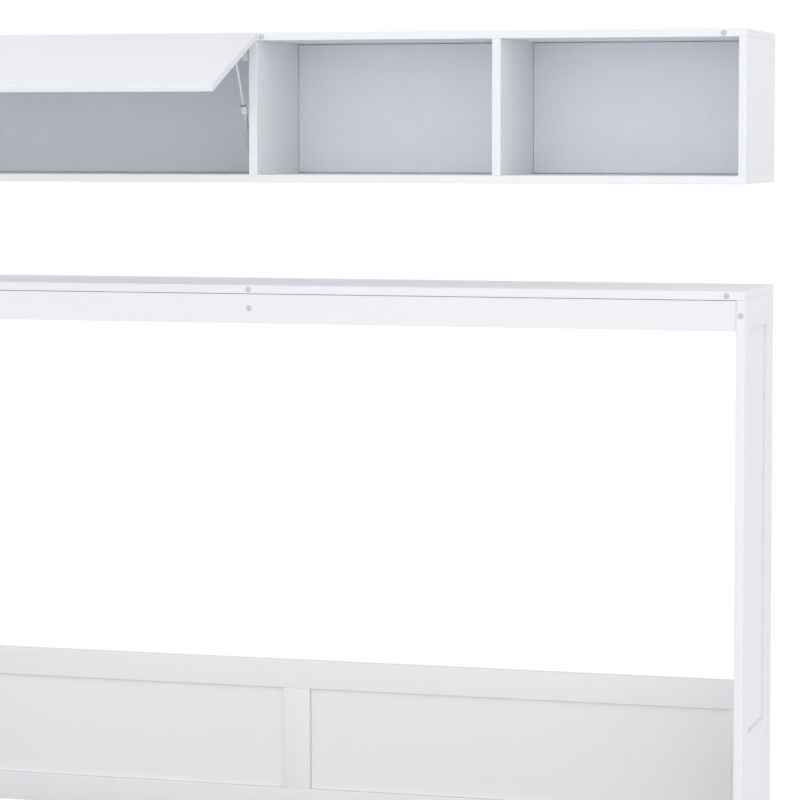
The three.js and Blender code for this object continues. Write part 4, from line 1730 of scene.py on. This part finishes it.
@dataclass
class Flap:
    """The flap door with its two hinges and the two gas struts that hold it open."""

    easing: float = 1.0 * MM
    fitting_easing: float = 0.4 * MM
    base_thickness: float = 4 * MM
    base_length: float = 32 * MM
    base_height: float = 24 * MM
    base_screw_spread: float = 9 * MM
    foot_thickness: float = 2.5 * MM
    foot_screw_spread: float = 10.5 * MM
    screw: Screw = field(default_factory=lambda: Screw(3 * MM, 1.2 * MM))
    cover_thickness: float = 16 * MM
    cover_rounding: float = 2.5 * MM
    cover_play: float = 0.3 * MM
    strut: GasStrut = field(
        default_factory=lambda: GasStrut(
            label="flap",
            tube_radius=5 * MM,
            tube_length=141 * MM,
            rod_radius=2.5 * MM,
            eye_radius=5 * MM,
            eye_width=6 * MM,
            stud_radius=3 * MM,
            sleeve_radius=6 * MM,
            sleeve_length=18 * MM,
            tube_skin=SATIN_STEEL,
            sleeve_skin=PALE_STEEL,
            rod_skin=SATIN_CHROME,
            wall=0.6 * MM,
        )
    )

    def build(self) -> list[Piece]:
        """Makes the door, and the fittings of its left and right end.

        Returns:
            The door, the hinges with their covers and screws, and the struts' pieces.
        """
        pieces = [finished_node("flap_door", LACQUER, self.easing)]
        for side in Side:
            for node in ("flap_hinge_arm", "flap_hinge_cup", "flap_strut_foot", "flap_strut_head"):
                pieces.append(finished_node(f"{node}_{side.word}", ZINC, self.fitting_easing))
            pieces.append(self.cover(side))
            pieces.append(self.screws(side))
            pieces += self.strut.build(side)
        return pieces

    def cover(self, side: Side) -> Piece:
        """Makes the moulded cover that is clipped over a hinge's base and the end of its arm.

        Args:
            side: The end of the door.

        Returns:
            The cover.
        """
        low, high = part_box(f"flap_hinge_arm_{side.word}")
        inward = -side.value
        face = high.x if side is Side.RIGHT else low.x
        across = sorted((face + inward * self.cover_play, face + inward * self.cover_thickness))
        bottom = Vector((across[0], high.y - self.base_length + self.cover_play, low.z + self.cover_play))
        top = Vector((across[1], high.y - self.cover_play, low.z + self.base_height - self.cover_play))
        shape = rounded(block(bottom, top), self.cover_rounding)
        return make_piece(f"flap_hinge_cover_{side.word}", shape, PALE_NYLON, "root")

    def screws(self, side: Side) -> Piece:
        """Makes the screws of a hinge's base and of a strut's foot.

        Args:
            side: The end of the door.

        Returns:
            One piece of four screws.
        """
        arm_low, arm_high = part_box(f"flap_hinge_arm_{side.word}")
        foot_low, foot_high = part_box(f"flap_strut_foot_{side.word}")
        inward = -side.value * RIGHT
        face = arm_high.x if side is Side.RIGHT else arm_low.x
        places = []
        base_y = arm_high.y - self.base_length / 2
        base_z = arm_low.z + self.base_height / 2
        foot_y = (foot_low.y + foot_high.y) / 2
        foot_z = (foot_low.z + foot_high.z) / 2
        for way in (-1, 1):
            base = Vector((face, base_y + way * self.base_screw_spread, base_z))
            places.append(facing(base + inward * self.base_thickness, inward))
            foot = Vector((face, foot_y + way * self.foot_screw_spread, foot_z))
            places.append(facing(foot + inward * self.foot_thickness, inward))
        return self.screw.group(f"flap_fitting_screws_{side.word}", "root", places)


@dataclass
class Studio:
    """A pale floor, soft light and the camera at the photograph's viewing angle."""

    # The camera's place and turn were fitted to the lines of the frame and of the cabinet
    camera_place: tuple[float, float, float] = (2.1935, -5.9494, 1.8618)
    focal_pixels: float = 3239.6
    yaw_degrees: float = 16.1
    # The photograph is level with a large shift; most of that is a pitch here, to suit other views
    pitch_degrees: float = 3.666
    lens_shift: float = -0.07
    view_depth: float = 200.0
    floor_size: float = 60.0
    floor_colour: str = "#e6e9ee"
    floor_roughness: float = 0.9
    # Between these distances the floor turns into the white round it
    fade_start: float = 1.9
    fade_end: float = 2.9
    # How bright the surroundings are towards each side of the room, where 1 is white
    dome_right: float = 1.3
    dome_left: float = 0.95
    dome_wall: float = 0.75
    dome_room: float = 1.32
    dome_above: float = 0.66
    dome_below: float = 0.6
    # One large soft lamp in front of the bed
    key_place: tuple[float, float, float] = (0.3, -5.2, 1.7)
    key_aim: tuple[float, float, float] = (0, 0, 1.0)
    key_size: float = 3.6
    key_power: float = 32.0

    def build(self) -> None:
        """Makes the floor, the light and the camera."""
        self.floor()
        self.dome()
        self.lamp()
        self.camera()
        bpy.context.scene.view_settings.view_transform = "Standard"

    def camera(self) -> None:
        """Makes the camera and sets it as the scene's."""
        data = bpy.data.cameras.new("camera")
        data.sensor_width = SENSOR_WIDTH
        data.lens = self.focal_pixels * SENSOR_WIDTH / IMAGE_WIDTH
        data.shift_y = self.lens_shift
        data.clip_end = self.view_depth
        camera = bpy.data.objects.new("camera", data)
        camera.location = self.camera_place
        camera.rotation_euler = (math.radians(90 - self.pitch_degrees), 0, math.radians(self.yaw_degrees))
        bpy.context.scene.collection.objects.link(camera)
        bpy.context.scene.camera = camera

    def lamp(self) -> None:
        """Makes the square soft lamp that looks at the bed."""
        data = bpy.data.lights.new("key_light", "AREA")
        data.shape = "SQUARE"
        data.size = self.key_size
        data.energy = self.key_power
        light = bpy.data.objects.new("key_light", data)
        place = Vector(self.key_place)
        light.location = place
        light.rotation_euler = (place - Vector(self.key_aim)).to_track_quat("Z", "Y").to_euler()
        bpy.context.scene.collection.objects.link(light)

    def seen(self, tree: Tree) -> Socket:
        """Adds the nodes that tell what the camera, a gloss or a clear piece sees.

        Args:
            tree: The node tree that they go into.

        Returns:
            A socket that is 1 for such a ray and 0 for light.
        """
        path = add_node(tree, "ShaderNodeLightPath")
        direct = add_node(
            tree,
            "ShaderNodeMath",
            {0: path.outputs["Is Camera Ray"], 1: path.outputs["Is Glossy Ray"]},
            operation="MAXIMUM",
        )
        either = add_node(
            tree,
            "ShaderNodeMath",
            {0: direct.outputs[0], 1: path.outputs["Is Transmission Ray"]},
            operation="MAXIMUM",
        )
        return either.outputs[0]

    def dome(self) -> None:
        """Makes the surroundings: white where they are seen, and a soft light from all sides elsewhere."""
        world = bpy.data.worlds.new("studio")
        bpy.context.scene.world = world
        world.use_nodes = True
        tree = world.node_tree
        tree.nodes.clear()
        direction = add_node(tree, "ShaderNodeTexCoord").outputs["Generated"]
        high = Vector((self.dome_right, self.dome_wall, self.dome_above))
        low = Vector((self.dome_left, self.dome_room, self.dome_below))
        square = add_node(
            tree, "ShaderNodeVectorMath", {0: direction, 1: direction}, operation="MULTIPLY"
        )
        size = add_node(tree, "ShaderNodeVectorMath", {0: direction}, operation="ABSOLUTE")
        signed = add_node(
            tree, "ShaderNodeVectorMath", {0: direction, 1: size.outputs[0]}, operation="MULTIPLY"
        )
        even = add_node(
            tree,
            "ShaderNodeVectorMath",
            {0: square.outputs[0], 1: (high + low) / 2},
            operation="DOT_PRODUCT",
        )
        odd = add_node(
            tree,
            "ShaderNodeVectorMath",
            {0: signed.outputs[0], 1: (high - low) / 2},
            operation="DOT_PRODUCT",
        )
        strength = add_node(
            tree, "ShaderNodeMath", {0: even.outputs["Value"], 1: odd.outputs["Value"]}, operation="ADD"
        )
        light = add_node(tree, "ShaderNodeBackground", {"Strength": strength.outputs[0]})
        white = add_node(tree, "ShaderNodeBackground", {"Strength": 1.0})
        for node in (light, white):
            node.inputs["Color"].default_value = (1, 1, 1, 1)
        mix = add_node(
            tree, "ShaderNodeMixShader", {0: self.seen(tree), 1: light.outputs[0], 2: white.outputs[0]}
        )
        add_node(tree, "ShaderNodeOutputWorld", {"Surface": mix.outputs[0]})

    def floor(self) -> None:
        """Makes the floor, a pale ground that holds the shadow and turns into the white round it."""
        mesh = bmesh.new()
        bmesh.ops.create_grid(mesh, x_segments=1, y_segments=1, size=self.floor_size / 2)
        data = bpy.data.meshes.new("floor")
        mesh.to_mesh(data)
        mesh.free()
        floor = bpy.data.objects.new("floor", data)
        bpy.context.scene.collection.objects.link(floor)
        material = bpy.data.materials.new("matt_pale_studio_floor")
        material.use_nodes = True
        tree = material.node_tree
        shader = tree.nodes["Principled BSDF"]
        shader.inputs["Base Color"].default_value = linear(self.floor_colour)
        shader.inputs["Roughness"].default_value = self.floor_roughness
        place = add_node(tree, "ShaderNodeTexCoord").outputs["Object"]
        distance = add_node(tree, "ShaderNodeVectorMath", {0: place}, operation="LENGTH")
        away = add_node(
            tree,
            "ShaderNodeMapRange",
            {"Value": distance.outputs["Value"], "From Min": self.fade_start, "From Max": self.fade_end},
            interpolation_type="SMOOTHSTEP",
        )
        share = add_node(
            tree, "ShaderNodeMath", {0: away.outputs[0], 1: self.seen(tree)}, operation="MULTIPLY"
        )
        white = add_node(tree, "ShaderNodeEmission", {"Strength": 1.0})
        mix = add_node(
            tree, "ShaderNodeMixShader", {0: share.outputs[0], 1: shader.outputs[0], 2: white.outputs[0]}
        )
        tree.links.new(mix.outputs[0], tree.nodes["Material Output"].inputs["Surface"])
        data.materials.append(material)


def main() -> None:
    """Builds the studio and every sub-assembly, and reports each piece."""
    logging.basicConfig(level=logging.INFO, format="%(message)s")
    Studio().build()
    assemblies = [
        Carcass(),
        BumperPads(),
        LiftFittings(),
        BedBase(),
        SlatRoll("slats_rear"),
        SlatRoll("slats_front"),
        BedPanel(),
        Legs(),
        Cabinet(),
        Flap(),
    ]
    for assembly in assemblies:
        for piece in assembly.build():
            LOG.info("%s: %s", type(assembly).__name__, piece.name)


if __name__ == "__main__":
    main()
